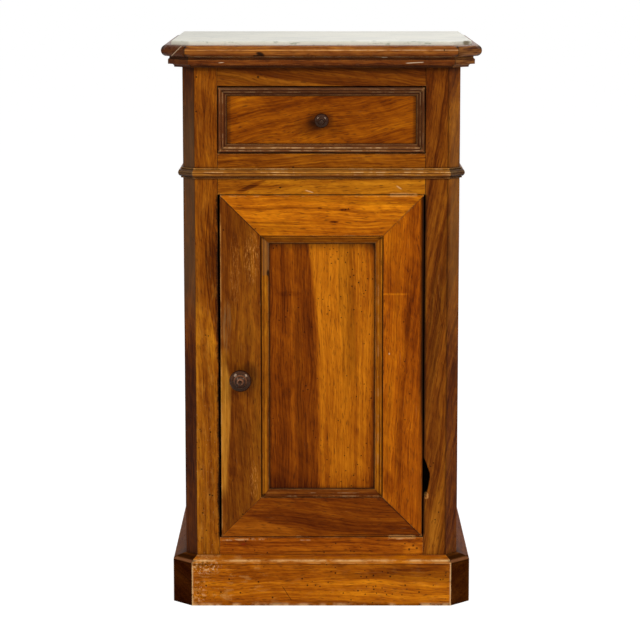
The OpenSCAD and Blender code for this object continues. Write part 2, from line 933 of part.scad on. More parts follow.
// The tongue hangs down at rest. A quarter turn to the left takes it into the post's slot.
module latch_tongue() {
    r = tongue_plate_w / 2;
    color(iron) at_latch() translate([0, tongue_back, 0]) rotate([90, 0, 0]) difference() {
        linear_extrude(height = tongue_plate_t) union() {
            circle(r = r);
            translate([-r, -tongue_reach + r]) square([tongue_plate_w, tongue_reach - r]);
            translate([0, -tongue_reach + r]) circle(r = r);
        }
        translate([0, 0, -over]) cylinder(r = spindle_r + close_fit, h = tongue_plate_t + 2 * over);
    }
}

// ---- Door ----

// Frame of the door: the middle of its face
module at_door() {
    in_place() translate([door_x, 0, door_mid_z]) children();
}

module door_member(length) {
    mitred_member(length, door_frame_w) door_frame_profile();
}

// What is cut out of the door frame for hinges, screws and spindle
module door_cuts() {
    translate([-door_x, 0, -door_mid_z]) {
        leaf_recess(door_top, -1);
        leaf_recess(door_z, 1);
        translate([door_knob_x, -over, door_knob_z]) rotate([-90, 0, 0])
            cylinder(r = spindle_r + rub, h = door_t + 2 * over);
    }
}

module door_stile_left() {
    color(walnut) at_door() difference() {
        left_member(door_w, door_h) door_member(door_h);
        door_cuts();
    }
}

module door_stile_right() {
    color(walnut_light) at_door() difference() {
        right_member(door_w, door_h) door_member(door_h);
        door_cuts();
    }
}

module door_rail_top() {
    color(walnut_light) at_door() difference() {
        top_member(door_w, door_h) door_member(door_w);
        door_cuts();
    }
}

module door_rail_bottom() {
    color(walnut) at_door() difference() {
        bottom_member(door_w, door_h) door_member(door_w);
        door_cuts();
    }
}

module door_panel() {
    grow = panel_groove - fit;
    color(walnut_light) at_door()
        block([-panel_w / 2 - grow, panel_set, -panel_h / 2 - grow],
            [panel_w / 2 + grow, panel_set + panel_t, panel_h / 2 + grow]);
}

module at_door_panel() {
    color(mould_brown) at_door() translate([0, panel_set, 0]) children();
}

module door_mould(length) {
    mitred_member(length, door_mould_w) door_mould_profile();
}

module door_moulding_top() {
    at_door_panel() top_member(panel_w, panel_h) door_mould(panel_w);
}

module door_moulding_bottom() {
    at_door_panel() bottom_member(panel_w, panel_h) door_mould(panel_w);
}

module door_moulding_left() {
    at_door_panel() left_member(panel_w, panel_h) door_mould(panel_h);
}

module door_moulding_right() {
    at_door_panel() right_member(panel_w, panel_h) door_mould(panel_h);
}

// ---- Pivot hinges ----

// Outline of a leaf from above, round its pivot, grown by a clearance g
module leaf_outline(g) {
    union() {
        circle(r = leaf_w / 2 + g);
        translate([-leaf_l - g, -leaf_w / 2 - g]) square([leaf_l + g, leaf_w + 2 * g]);
    }
}

// Moves to a pivot at height z, with +Z going the way d, into the wood that holds the leaf
module at_pivot(z, d) {
    translate([pivot_x, pivot_back, z])
        if (d > 0) children();
        else mirror([0, 0, 1]) children();
}

// Countersunk screws of one leaf, drawn from its face into the wood, grown by a clearance g
module leaf_screws(g) {
    head_t = screw_head_r - screw_r;
    for (x = leaf_screw_x) translate([-x, 0, 0]) {
        cylinder(r1 = screw_head_r + g, r2 = screw_r + g, h = head_t);
        cylinder(r = screw_r + g, h = screw_l + g);
    }
}

// The recess for a leaf in the wood above (d = 1) or below (d = -1) the face at height z
module leaf_recess(z, d) {
    at_pivot(z, d) {
        translate([0, 0, -over]) linear_extrude(height = leaf_t + over) leaf_outline(fit);
        leaf_screws(close_fit);
    }
}

module leaf_plate() {
    difference() {
        linear_extrude(height = leaf_t) leaf_outline(0);
        leaf_screws(close_fit);
    }
}

// The door's leaves, each with its pin riveted in. A pin goes through the washer into the frame's leaf.
module hinge_door_leaves() {
    pin_out = door_gap_end + leaf_t - fit;
    color(brass) in_place() for (end = [[door_top, -1], [door_z, 1]])
        at_pivot(end[0], end[1]) {
            leaf_plate();
            translate([0, 0, -pin_out]) cylinder(r = pin_r, h = pin_out + leaf_t);
        }
}

module hinge_frame_leaves() {
    color(brass) in_place() for (end = [[mid_rail_z, 1], [floor_z, -1]])
        at_pivot(end[0], end[1]) difference() {
            leaf_plate();
            translate([0, 0, -over]) cylinder(r = pin_r + close_fit, h = leaf_t + 2 * over);
        }
}

// The washers that carry and space the door
module hinge_washers() {
    color(brass) in_place() for (z = [floor_z, door_top])
        translate([pivot_x, pivot_back, z]) difference() {
            cylinder(r = leaf_w / 2, h = door_gap_end);
            translate([0, 0, -over]) cylinder(r = pin_r + close_fit, h = door_gap_end + 2 * over);
        }
}

// Screws with a slot across the head
module slotted_screws() {
    slot_w = 0.6;
    slot_t = 0.6;
    difference() {
        leaf_screws(0);
        for (x = leaf_screw_x)
            block([-x - screw_head_r, -slot_w / 2, -over], [-x + screw_head_r, slot_w / 2, slot_t]);
    }
}

module hinge_door_screws() {
    color(iron) in_place() {
        at_pivot(door_top, -1) slotted_screws();
        at_pivot(door_z, 1) slotted_screws();
    }
}

module hinge_frame_screws() {
    color(iron) in_place() {
        at_pivot(mid_rail_z, 1) slotted_screws();
        at_pivot(floor_z, -1) slotted_screws();
    }
}

// ---- Assembly ----

marble_top();
top_moulding_front();
top_moulding_cants();
top_moulding_side(-1);  // top_moulding_left
top_moulding_side(1);  // top_moulding_right
front_post(-1);  // front_post_left
front_post(1);  // front_post_right
side_board(-1);  // side_board_left
side_board(1);  // side_board_right
top_rail();
middle_rail();
bottom_rail();
back_top_rail();
string_front();
string_cants();
string_side(-1);  // string_left
string_side(1);  // string_right
plinth_front();
plinth_cants();
plinth_side(-1);  // plinth_left
plinth_side(1);  // plinth_right
back_board(0);  // back_board_left
back_board(1);  // back_board_middle
back_board(2);  // back_board_right
back_nails();
cupboard_floor();
dust_board();
shelf();
shelf_cleats();
door_stop();
drawer_runners();
drawer_guides();
drawer_kickers();
drawer_front();
drawer_moulding_top();
drawer_moulding_bottom();
drawer_moulding_left();
drawer_moulding_right();
drawer_side(-1);  // drawer_side_left
drawer_side(1);  // drawer_side_right
drawer_back();
drawer_bottom();
drawer_knob();
door_stile_left();
door_stile_right();
door_rail_top();
door_rail_bottom();
door_panel();
door_moulding_top();
door_moulding_bottom();
door_moulding_left();
door_moulding_right();
hinge_door_leaves();
hinge_frame_leaves();
hinge_washers();
hinge_door_screws();
hinge_frame_screws();
door_knob();
latch_spindle();
latch_tongue();
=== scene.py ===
# %% [markdown]
# A bedside pot cupboard in walnut: one drawer, one door and a marble top, with cut corners from the plinth to the top
# moulding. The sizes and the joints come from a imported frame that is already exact. This script gives each piece the
# worn edges, the uneven faces and the finish that the frame doesn't have. The frame could be shown as it is, but sharp
# computed edges catch no light, so each piece of wood becomes a worked copy of its own node.

import math

import bmesh
import bpy
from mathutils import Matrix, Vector, noise


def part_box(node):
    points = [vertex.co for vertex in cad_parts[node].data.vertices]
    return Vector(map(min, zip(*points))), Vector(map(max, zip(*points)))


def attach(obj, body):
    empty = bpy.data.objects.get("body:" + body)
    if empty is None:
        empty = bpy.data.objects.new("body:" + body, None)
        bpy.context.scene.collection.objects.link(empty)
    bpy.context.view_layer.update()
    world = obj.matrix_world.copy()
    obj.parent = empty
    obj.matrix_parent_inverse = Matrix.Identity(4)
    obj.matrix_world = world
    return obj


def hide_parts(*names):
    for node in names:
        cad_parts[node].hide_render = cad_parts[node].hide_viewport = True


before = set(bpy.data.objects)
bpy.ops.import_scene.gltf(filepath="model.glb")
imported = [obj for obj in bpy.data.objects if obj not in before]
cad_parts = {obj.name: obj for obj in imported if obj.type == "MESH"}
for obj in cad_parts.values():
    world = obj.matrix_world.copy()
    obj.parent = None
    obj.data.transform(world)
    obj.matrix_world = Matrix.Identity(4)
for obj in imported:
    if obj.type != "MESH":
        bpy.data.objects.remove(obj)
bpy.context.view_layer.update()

# %% [markdown]
# The picture shows the front nearly level, with its upright edges kept upright. A long lens a few metres back does
# almost the same without any shift. The camera stands a little above the marble and looks slightly down, so that a
# sliver of the top shows.

# %% Camera
FACE_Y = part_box("front_post_left")[0].y
SIDEWAYS, DISTANCE, EYE_HEIGHT, AIM_HEIGHT = -0.002, 3.5, 0.955, 0.4117
LENS_MM, SENSOR_MM = 140.7, 36


def look(thing, target):
    thing.rotation_mode = "QUATERNION"
    thing.rotation_quaternion = (target - thing.location).to_track_quat("-Z", "Y")


camera = bpy.data.objects.new("camera", bpy.data.cameras.new("camera"))
bpy.context.collection.objects.link(camera)
camera.data.sensor_width, camera.data.lens, camera.data.clip_end = SENSOR_MM, LENS_MM, 100
camera.location = (SIDEWAYS, FACE_Y - DISTANCE, EYE_HEIGHT)
look(camera, Vector((SIDEWAYS, FACE_Y, AIM_HEIGHT)))
bpy.context.scene.camera = camera
print("lens", camera.data.lens, "mm, distance", round(FACE_Y - camera.location.y, 3), "m")

# %% [markdown]
# The highlights on the round knobs show two soft lamps, one high on each side, and a white room. So two big area lamps
# stand at the same places. A long thin one above the camera gives the mouldings a sheen along their crests, and one
# behind keeps the back from going black. Small hard lamps would throw sharp black shadows, and the photo has none.

# %% Lamps
AIM = Vector((0, 0, 0.42))
LAMPS = [
    # name, place, width and height, power
    ("lamp_right", (1.7, -1.95, 1.85), (0.7, 0.9), 25.5),
    ("lamp_left", (-1.7, -1.95, 1.85), (0.7, 0.9), 21),
    ("lamp_high", (0.0, -2.3, 1.75), (2.6, 0.22), 11),
    ("lamp_back", (0.6, 2.4, 2.6), (1.6, 1.6), 22),
]


def soft_lamp(name, place, size, power):
    lamp = bpy.data.lights.new(name, "AREA")
    lamp.shape, lamp.size, lamp.size_y = "RECTANGLE", size[0], size[1]
    lamp.energy = power
    thing = bpy.data.objects.new(name, lamp)
    thing.location = place
    look(thing, AIM)
    bpy.context.collection.objects.link(thing)


for row in LAMPS:
    soft_lamp(*row)
bpy.context.scene.view_settings.view_transform = "Standard"
print("lamps:", [row[0] for row in LAMPS])

# %% [markdown]
# Every finish here is worked out by nodes. Writing them one by one hides the idea behind the wires, so a small class
# wraps an output socket: adding or multiplying two of them adds the maths node that does it.


# %% Shader maths
def both_ways(kind):
    """One sum for a signal on the left of its sign, and one for a signal on the right of it."""
    return lambda a, b: a.math(kind, a, b), lambda a, b: a.math(kind, b, a)


class Signal:
    """A value, colour or place on its way through a finish."""

    def __init__(self, tree, socket=None):
        self.tree, self.socket = tree, socket

    def node(self, kind, settings=None, inputs=None, output=0):
        made = self.tree.nodes.new("ShaderNode" + kind)
        for name, value in (settings or {}).items():
            setattr(made, name, value)
        for name, value in (inputs or {}).items():
            if isinstance(value, Signal):
                self.tree.links.new(value.socket, made.inputs[name])
            else:
                made.inputs[name].default_value = value
        return Signal(self.tree, made.outputs[output])

    def math(self, kind, *values):
        return self.node("Math", {"operation": kind}, dict(enumerate(values)))

    __add__, __radd__ = both_ways("ADD")
    __sub__, __rsub__ = both_ways("SUBTRACT")
    __mul__, __rmul__ = both_ways("MULTIPLY")
    __truediv__, __rtruediv__ = both_ways("DIVIDE")
    __pow__ = both_ways("POWER")[0]

    def __abs__(self):
        return self.math("ABSOLUTE", self)

    def rise(self, low, high, start=0.0, end=1.0):
        """A soft step from start below low to end above high."""
        return self.node(
            "MapRange",
            {"interpolation_type": "SMOOTHSTEP"},
            {"Value": self, "From Min": low, "From Max": high, "To Min": start, "To Max": end},
        )

    def fall(self, low, high):
        """A soft step from 1 below low to 0 above high."""
        return self.rise(low, high, 1.0, 0.0)

    def near(self, middle, width):
        """1 at middle, falling to 0 at width away."""
        return abs(self - middle).fall(0.0, width)

    def mixed(self, other, share):
        """This colour with a share of another, which may be a signal or a plain colour."""
        settings = {"data_type": "RGBA", "blend_type": "MIX"}
        return self.node("Mix", settings, {0: share, 6: self, 7: other}, 2)

    def ramp(self, *stops):
        """The colour that a value between 0 and 1 stands for, from stops of (value, colour)."""
        made = self.node("ValToRGB", None, {"Fac": self})
        steps = made.socket.node.color_ramp.elements
        while len(steps) < len(stops):
            steps.new(0.5)
        for step, (place, colour) in zip(steps, stops):
            step.position, step.color = place, colour
        return made


print("a signal can rise, fall, be near a value, be mixed, and be looked up on a ramp")

# %% [markdown]
# Colours are written as they look on a screen, from 0 to 255, because that is how a maker compares them with a
# picture. Blender works in linear light, so one helper turns them. Places on the front are written in millimetres,
# as a rule laid on the cupboard would give them.


# %% Colours
MM = 0.001


def colour(red, green, blue, gain=1.0):
    def linear(c):
        c /= 255
        return c / 12.92 if c <= 0.04045 else ((c + 0.055) / 1.055) ** 2.4

    return (*(min(1.0, linear(c) * gain) for c in (red, green, blue)), 1.0)


def shade(tone, red, green, blue):
    """A tone made lighter or darker, by a different share for each of its parts."""
    return tuple(colour(*tone, gain)[i] for i, gain in enumerate((red, green, blue))) + (1.0,)


# the dark colour of old dirt, and of the painted shade in hollows and corners
DARK_DIRT_AND_SHADE = colour(26, 11, 4)
DARK = colour(20, 8, 3)
TAN = colour(208, 146, 76)
PALE = colour(226, 186, 132)
WARM = (1.0, 0.74, 0.52, 1.0)  # old shellac gives back a warm shine
print("grime in linear light:", [round(v, 4) for v in DARK_DIRT_AND_SHADE])


# %% [markdown]
# A finish needs to know where on the piece each point lies. One class starts a material, splits the place into its
# three parts, and holds the few patterns that all the finishes are made of: clouds, stripes, dirt and painted shade in
# the corners, and soft ovals, lines, bands and wormholes at measured places. Painting them into an image would fix
# their sharpness once and for all, but a formula stays sharp close up.


# %% Patterns on a surface
class Finish:
    """A new material, with the places of its surface ready to use."""

    def __init__(self, name):
        self.material = bpy.data.materials.new(name)
        self.material.use_nodes = True
        self.tree = self.material.node_tree
        self.tree.nodes.clear()
        self.start = Signal(self.tree)
        self.place = self.start.node("TexCoord", None, None, 3)
        self.x, self.y, self.z = (
            self.start.node("SeparateXYZ", None, {"Vector": self.place}, i) for i in range(3)
        )

    def spot(self, x, y, z):
        return self.start.node("CombineXYZ", None, {"X": x, "Y": y, "Z": z})

    def cloud(self, place, scale, detail=2.0, rough=0.5, output=0):
        """Soft noise round 0.5."""
        inputs = {"Vector": place, "Scale": scale, "Detail": detail, "Roughness": rough}
        return self.start.node("TexNoise", None, inputs, output)

    def stripes(self, value, scale, detail=3.0, rough=0.5):
        """Noise that changes along one value only."""
        inputs = {"W": value, "Scale": scale, "Detail": detail, "Roughness": rough}
        return self.start.node("TexNoise", {"noise_dimensions": "1D"}, inputs)

    def cells(self, scale):
        """The distance to the nearest of many scattered points, for round specks."""
        return self.start.node("TexVoronoi", None, {"Vector": self.place, "Scale": scale})

    def crevice(self, reach, inside=False):
        """0 in the open and 1 deep in a corner, or on an edge where inside is set."""
        settings = {"samples": 6, "inside": inside, "only_local": inside}
        return 1.0 - self.start.node("AmbientOcclusion", settings, {"Distance": reach}, 1)

    def oval(self, x, z, wide, high, slope=0.0):
        """A soft oval on the front, in millimetres."""
        u = (self.x - x * MM) / (wide * MM)
        v = (self.z - z * MM - (self.x - x * MM) * slope) / (high * MM)
        return (u * u + v * v).fall(0.15, 1.0)

    def line(self, x0, z0, x1, z1, width, soft=2.0):
        """A soft line on the front from one point to another, in millimetres."""
        length = math.hypot(x1 - x0, z1 - z0)
        ux, uz = (x1 - x0) / length, (z1 - z0) / length
        along = (self.x - x0 * MM) * ux + (self.z - z0 * MM) * uz
        off = (self.z - z0 * MM) * ux - (self.x - x0 * MM) * uz
        ends = along.rise(-soft * MM, soft * MM) * along.fall((length - soft) * MM, (length + soft) * MM)
        return off.near(0.0, width * MM) * ends

    def band(self, axis, low, high, soft):
        """1 between two places along an axis, in millimetres."""
        value = {"x": self.x, "y": self.y, "z": self.z}[axis]
        low, high, soft = low * MM, high * MM, soft * MM
        return value.rise(low - soft, low + soft) * value.fall(high - soft, high + soft)

    def bored(self, places, radius=0.9):
        """Round holes at places (x, z) on the front, in millimetres."""
        flat = self.spot(self.x, 0.0, self.z)
        nearest = None
        for x, z in places:
            inputs = {0: flat, 1: (x * MM, 0.0, z * MM)}
            away = self.start.node("VectorMath", {"operation": "DISTANCE"}, inputs, 1)
            nearest = away if nearest is None else nearest.math("MINIMUM", nearest, away)
        return nearest.fall(0.55 * radius * MM, 1.25 * radius * MM)

    def close(self, base, rough, height=None, depth=0.001, **fixed):
        """The surface shader and the output. fixed holds the shader's own values."""
        inputs = {"Base Color": base, "Roughness": rough}
        inputs.update({name.replace("_", " "): value for name, value in fixed.items()})
        if height is not None:
            bump = {"Height": height, "Distance": depth, "Strength": 1.0}
            inputs["Normal"] = self.start.node("Bump", None, bump)
        return self.out(self.start.node("BsdfPrincipled", None, inputs))

    def out(self, surface):
        made = self.tree.nodes.new("ShaderNodeOutputMaterial")
        self.tree.links.new(surface.socket, made.inputs["Surface"])
        return self.material


print("patterns: cloud, stripes, cells, crevice, oval, line, band and bored")

# %% [markdown]
# The cupboard stands in a white room. The room looks full white to the camera and in a shine, but it lights the wood
# with less than half of that, so that the lamps can still model the shapes. The floor has to look white too, without
# more light on the wood. So a share of its brightness is given to camera rays only, and the rest is plain white paint
# that keeps the shadow. A lit sheet of cloth would do the same in a studio, but it would bounce light upwards.

# %% World and floor
ROOM_LIGHT, FULL_WHITE, SHINE_SHARE = 0.42, 1.0, 0.7
PAPER_GLOW, GLOW_SHARE = 1.32, 0.66
FLOOR_SIZE = 80
TO_CAMERA, GLOSSY, THROUGH_GLASS = 0, 3, 6  # outputs of Blender's light path node


def white_room():
    world = bpy.data.worlds.new("room")
    bpy.context.scene.world = world
    world.use_nodes = True
    tree = world.node_tree
    tree.nodes.clear()
    start = Signal(tree)
    seen, glossy, clear = (start.node("LightPath", None, None, i) for i in (TO_CAMERA, GLOSSY, THROUGH_GLASS))
    strength = (seen + glossy * SHINE_SHARE + clear).rise(0.0, 1.0, ROOM_LIGHT, FULL_WHITE)
    light = start.node("Background", None, {"Color": (1, 1, 1, 1), "Strength": strength})
    out = tree.nodes.new("ShaderNodeOutputWorld")
    tree.links.new(light.socket, out.inputs["Surface"])


def white_floor():
    bpy.ops.mesh.primitive_grid_add(x_subdivisions=8, y_subdivisions=8, size=FLOOR_SIZE, location=(0, 0, 0))
    floor = bpy.context.object
    floor.name = "floor"
    paper = Finish("floor_paper")
    speck = paper.cloud(paper.place, 3.0).rise(0.2, 0.8, 0.90, 0.92)
    tint = paper.start.node("CombineColor", None, {0: speck, 1: speck, 2: speck})
    matt = paper.start.node("BsdfDiffuse", None, {"Color": tint})
    glow = paper.start.node("Emission", None, {"Color": (1, 1, 1, 1), "Strength": PAPER_GLOW})
    seen = paper.start.node("LightPath", None, None, TO_CAMERA)
    paper.out(paper.start.node("MixShader", None, {0: seen * GLOW_SHARE, 1: matt, 2: glow}))
    floor.data.materials.append(paper.material)


white_room()
white_floor()
print("room light", ROOM_LIGHT, "and floor", FLOOR_SIZE, "m wide")

# %% [markdown]
# A piece of old furniture has no sharp edge and no truly flat face. Modelling each piece again by hand would lose the
# exact fit, so a piece starts as a copy of its node. The long outer edges get a small round, which is what catches the
# light, and the faces are cut into short lengths, so that they can bend a little.


# %% Rounding and cutting a copy
LONG_EDGE = 4 * MM
SHARP_EDGE = math.radians(34)
SLICE = 9 * MM


def cut_at(bm, axis, places):
    """Cuts the mesh by planes across an axis."""
    normal = Vector([i == axis for i in range(3)])
    for place in places:
        everything = bm.verts[:] + bm.edges[:] + bm.faces[:]
        bmesh.ops.bisect_plane(bm, geom=everything, plane_co=normal * place, plane_no=normal, dist=1e-6)


def cut_across(bm, axis, pitch):
    """Cuts the mesh into slices about a pitch thick."""
    values = [v.co[axis] for v in bm.verts]
    low, high = min(values), max(values)
    count = max(1, round((high - low) / pitch))
    cut_at(bm, axis, [low + (high - low) * i / count for i in range(1, count)])


def copied(node):
    """The mesh of a node with its doubled points and flat creases cleaned away."""
    bm = bmesh.new()
    bm.from_mesh(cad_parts[node].data)
    bmesh.ops.remove_doubles(bm, verts=bm.verts[:], dist=2e-6)
    bmesh.ops.dissolve_limit(bm, angle_limit=math.radians(0.6), verts=bm.verts[:], edges=bm.edges[:])
    bmesh.ops.recalc_face_normals(bm, faces=bm.faces[:])
    bm.normal_update()
    return bm


def eased(bm, round_by):
    """Rounds the long outer edges, and returns the mark that the middle of each round carries."""
    edges = [
        e
        for e in bm.edges
        if len(e.link_faces) == 2 and e.calc_length() > LONG_EDGE and e.calc_face_angle_signed(0) > SHARP_EDGE
    ]
    worn = bm.verts.layers.float.new("worn")
    if edges and round_by:
        how = {"offset_type": "OFFSET", "segments": 2, "profile": 0.5, "affect": "EDGES", "clamp_overlap": True}
        made = bmesh.ops.bevel(bm, geom=edges, offset=round_by, **how)
        fresh = set(made["faces"])
        for v in made["verts"]:
            if v.is_valid and all(f in fresh for f in v.link_faces):
                v[worn] = 1.0
    return worn


trial = copied("top_rail")
before = len(trial.faces)
eased(trial, 0.7 * MM)
print("top_rail:", before, "faces before rounding and", len(trial.faces), "after")
trial.free()

# %% [markdown]
# Each point of the copy then moves a little by smooth noise, so that the faces waver as planed wood does. The points
# in the middle of a round also sink into small dents here and there, which is how an edge wears: it is knocked, it
# isn't filed. The same noise on every piece would show, so each piece has its own seed.


# %% Worked copies
def as_piece(bm, name, finish, sharp_from):
    """The mesh as an object in one finish, smooth but for creases sharper than an angle in degrees."""
    mesh = bpy.data.meshes.new(name)
    bm.to_mesh(mesh)
    bm.free()
    mesh.shade_smooth()
    mesh.set_sharp_from_angle(angle=math.radians(sharp_from))
    piece = bpy.data.objects.new(name, mesh)
    bpy.context.collection.objects.link(piece)
    piece.data.materials.append(finish)
    return piece


def wavered(bm, worn, waver, dents, seed):
    """How far each point moves along its own normal."""
    offset = Vector((seed * 3.1, seed * 1.7, seed * 0.9))
    moves = []
    for v in bm.verts:
        p = v.co
        move = waver * noise.noise(p * 11 + offset) + 0.4 * waver * noise.noise(p * 37 + offset)
        if v[worn] > 0.5:
            move -= dents * max(0.0, noise.noise(p * 55 + offset)) ** 2 * 2.2
        moves.append(v.normal * move)
    return moves


def worked(node, body, finish, slot, round_by=0.7 * MM, waver=0.12 * MM, dents=0.35 * MM, shape=None, cuts=(), seed=0):
    """A worn copy of a node. shape may move each point once more, and cuts adds planes for it."""
    bm = copied(node)
    worn = eased(bm, round_by)
    for axis in range(3):
        cut_across(bm, axis, SLICE)
    for axis, places in cuts:
        cut_at(bm, "xyz".index(axis), places)
    bm.normal_update()
    for v, move in zip(bm.verts, wavered(bm, worn, waver, dents, seed)):
        v.co += move
        if shape:
            v.co = shape(v.co, v.normal)
    piece = as_piece(bm, node + "_worked", finish, sharp_from=38)
    smooth = piece.modifiers.new("even_light", "WEIGHTED_NORMAL")
    smooth.keep_sharp = True
    smooth.weight = 60
    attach(piece, body)
    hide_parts(node)
    return piece


print("slices of", round(SLICE / MM), "mm, and edges from", round(math.degrees(SHARP_EDGE)), "degrees are rounded")

# %% [markdown]
# Walnut is read from its growth rings. A board is cut from a trunk, so the distance from the trunk's heart, bent by
# slow noise, tells which ring a point lies in, and the rings come out as long flames on one face and as stripes on
# another. Pores and fibres are noise that is stretched along the board. An image of wood would repeat and wouldn't
# meet round the corners, but a pattern in space is cut by the faces as a saw cuts the trunk.


# %% The figure of walnut
def directions(f, run):
    """The places along, across and into a board whose grain runs along an axis."""
    return {"x": (f.x, f.z, f.y), "y": (f.y, f.z, f.x), "z": (f.z, f.x, f.y)}[run]


def trunk(f, run, seed, heart, lean, flame):
    """Where a point lies in the bent trunk, and how far it is from the heart."""
    along, across, deep = directions(f, run)
    bend = f.cloud(f.spot(along * 4.5 + seed * 5.0, across * 9.0, deep * 9.0 + seed), 1.0, 3.0, 0.55, output=1)
    bend_a, bend_b = (f.start.node("SeparateColor", None, {"Color": bend}, i) for i in range(2))
    a = across + along * lean + (bend_a - 0.5) * (0.055 * flame)
    b = deep + (bend_b - 0.5) * (0.05 * flame)
    away, up = a + heart[0], b + heart[1]
    return along, a, b, (away * away + up * up) ** 0.5


def figure(f, along, a, b, ring, seed, contrast):
    """The sum of a board's layers round 0.5, and the layers that are used again."""
    # the three large numbers of a layer tell how often it changes in a metre: along the board, across it and into it
    bands = f.stripes(ring + seed * 0.713, 55.0, 2.0, 0.55)
    lines = f.stripes(ring + seed * 0.291, 230.0, 3.0, 0.7)
    streaks = f.cloud(f.spot(along * 5.0, a * 150.0 + seed * 9.0, b * 150.0), 1.0, 3.0, 0.65)
    fibres = f.cloud(f.spot(along * 22.0, a * 560.0 + seed * 13.0, b * 560.0), 1.0, 2.0, 0.65)
    pores = f.cloud(f.spot(along * 90.0, a * 950.0, b * 950.0 + seed), 1.0, 1.0, 0.5).rise(0.58, 0.72)
    blotch = f.cloud(f.spot(along * 5.0 + seed * 7.3, a * 18.0, b * 18.0), 1.0, 3.0, 0.55)
    shimmer = f.cloud(f.spot(along * 70.0 + a * 60.0 + seed, a * 16.0, b * 16.0), 1.0, 2.0, 0.6)
    value = (
        0.5
        + (bands - 0.5) * (0.55 * contrast)
        + (lines - 0.5) * (0.48 * contrast)
        + (streaks - 0.5) * (0.62 * contrast)
        + (fibres - 0.5) * 0.78
        + (blotch - 0.5) * (0.55 * contrast)
        + (shimmer - 0.5) * 0.3
    )
    return value, streaks, fibres, pores, blotch


print("walnut: bands, lines, streaks, fibres, blotches and shimmer in one value, and pores on their own")

# %% [markdown]
# Age is laid over the figure in the order in which it came. Dirt and painted shade gather in every hollow and are
# darkest in the very corners. Then hands and dusters rub the edges and a few patches pale again, and scuffs follow the
# grain. Beetles bore last, so their holes cut through everything.


# %% Walnut
RUBBED = colour(206, 148, 84)
PORE = colour(54, 22, 6)


def dirt_and_painted_shade(f, base, grime):
    """Dirt and painted shade, wide in every hollow, and as a dark line in the corners themselves."""
    stain = f.cloud(f.place, 21.0, 3.0, 0.6)
    wide = f.crevice(12 * MM).rise(0.1, 0.9) * (0.25 + stain * 0.9)
    tight = f.crevice(3.2 * MM).rise(0.12, 0.55)
    base = base.mixed(DARK_DIRT_AND_SHADE, wide * grime)
    return base.mixed(DARK_DIRT_AND_SHADE, tight * (0.75 * grime)), wide


def rubbed_pale(f, base, run, seed, worn_share, scuffs):
    """Edges and patches that are rubbed pale, and scuffs along the grain."""
    patch = f.cloud(f.place, 70.0, 4.0, 0.7)
    edge = f.crevice(2.6 * MM, inside=True)
    rubbed = (edge * 0.75 + patch * 1.05).rise(0.86, 1.1)
    base = base.mixed(RUBBED, rubbed * worn_share)
    along, across, deep = directions(f, run)
    scuff = f.cloud(f.spot(along * 30.0, across * 420.0 + seed, deep * 420.0), 1.0, 3.0, 0.7).rise(0.62, 0.78)
    scuff = scuff * f.cloud(f.place, 17.0 + seed * 0.2, 2.0).rise(0.5, 0.68)
    return base.mixed(RUBBED, scuff * scuffs), patch, rubbed


def walnut(
    name, tone, run, seed, heart=(0.11, 0.07), lean=0.0, contrast=1.0, flame=0.5, gloss=0.38, shine=0.06,
    holes=0.0, zone=None, marks=None, worn_share=0.5, scuffs=0.3, grime=0.9,
):
    """One board's finish. zone changes the value before it becomes a colour, marks the colour itself."""
    f = Finish(name)
    along, a, b, ring = trunk(f, run, seed, heart, lean, flame)
    value, streaks, fibres, pores, blotch = figure(f, along, a, b, ring, seed, contrast)
    if zone:
        value = zone(f, value)
    base = value.ramp(
        (0.0, shade(tone, 0.2, 0.12, 0.2)),
        (0.28, shade(tone, 0.58, 0.47, 0.5)),
        (0.52, shade(tone, 1.0, 1.0, 1.0)),
        (0.76, shade(tone, 1.5, 1.8, 1.6)),
        (1.0, shade(tone, 2.1, 2.8, 3.0)),
    )
    vein = f.stripes(ring + seed * 0.531, 16.0, 2.0, 0.5).near(0.5, 0.03) * blotch.rise(0.42, 0.6)
    base = base.mixed(shade(tone, 0.2, 0.14, 0.2), vein * (0.5 * contrast))
    base, wide = dirt_and_painted_shade(f, base.mixed(PORE, pores * 0.62), grime)
    base, patch, rubbed = rubbed_pale(f, base, run, seed, worn_share, scuffs)
    height = fibres * 0.3 - pores * 0.5 + f.cloud(f.place, 60.0, 2.0) * 1.0 + streaks * 0.5
    if holes:
        where = f.cloud(f.place, 14.0).rise(0.6 - 0.2 * holes, 0.66 - 0.2 * holes)
        bored = f.cells(130.0).fall(0.09, 0.15) * where
        base = base.mixed(colour(24, 9, 4), bored * 0.9)
        height = height - bored * 6.0
    if marks:
        base = marks(f, base)
    rough = gloss + (patch - 0.5) * 0.2 + rubbed * 0.16 + wide * 0.2 + pores * 0.08
    return f.close(base, rough, height, 0.00014, Specular_IOR_Level=shine, Specular_Tint=WARM)


print("red of a middle tone, dark to light:", [round(shade((142, 76, 9), g, g, g)[0], 3) for g in (0.5, 1, 2)])

# %% [markdown]
# Some marks are this cupboard's own: the panel is brown on one side and orange on the other, a repair crosses a
# stile, and a dark flame runs over each rail. Each is a soft line or patch at a measured place on the piece. A zone
# pushes the tone lighter or darker before the colours are looked up, so that the grain runs through it, and a mark
# is laid over the colour, as dirt, a pit or a knock is. These few helpers are what the boards share.


# %% Marks that boards share
ITS_OWN = {}


def keep(node, **own):
    """Notes the zone and the marks of one piece, for when its finish is made."""
    ITS_OWN[node] = own
    print(node, "has its own", " and ".join(own))


def below(f, x, z, slope, soft):
    """1 under a sloping line across the front and 0 above it, in millimetres."""
    return (f.z - z * MM - (f.x - x * MM) * slope).fall(-soft * MM, soft * MM)


def skin(f, behind=0.0):
    """1 on the front face, falling off on the faces that run back from it."""
    return f.y.rise(FACE_Y + 0.0015, FACE_Y + 0.0060, 1.0, behind)


def bore(f, base, places, radius, share):
    """Wormholes at places (x, z) on the front, in millimetres."""
    return base.mixed(DARK, f.bored(places, radius) * share)


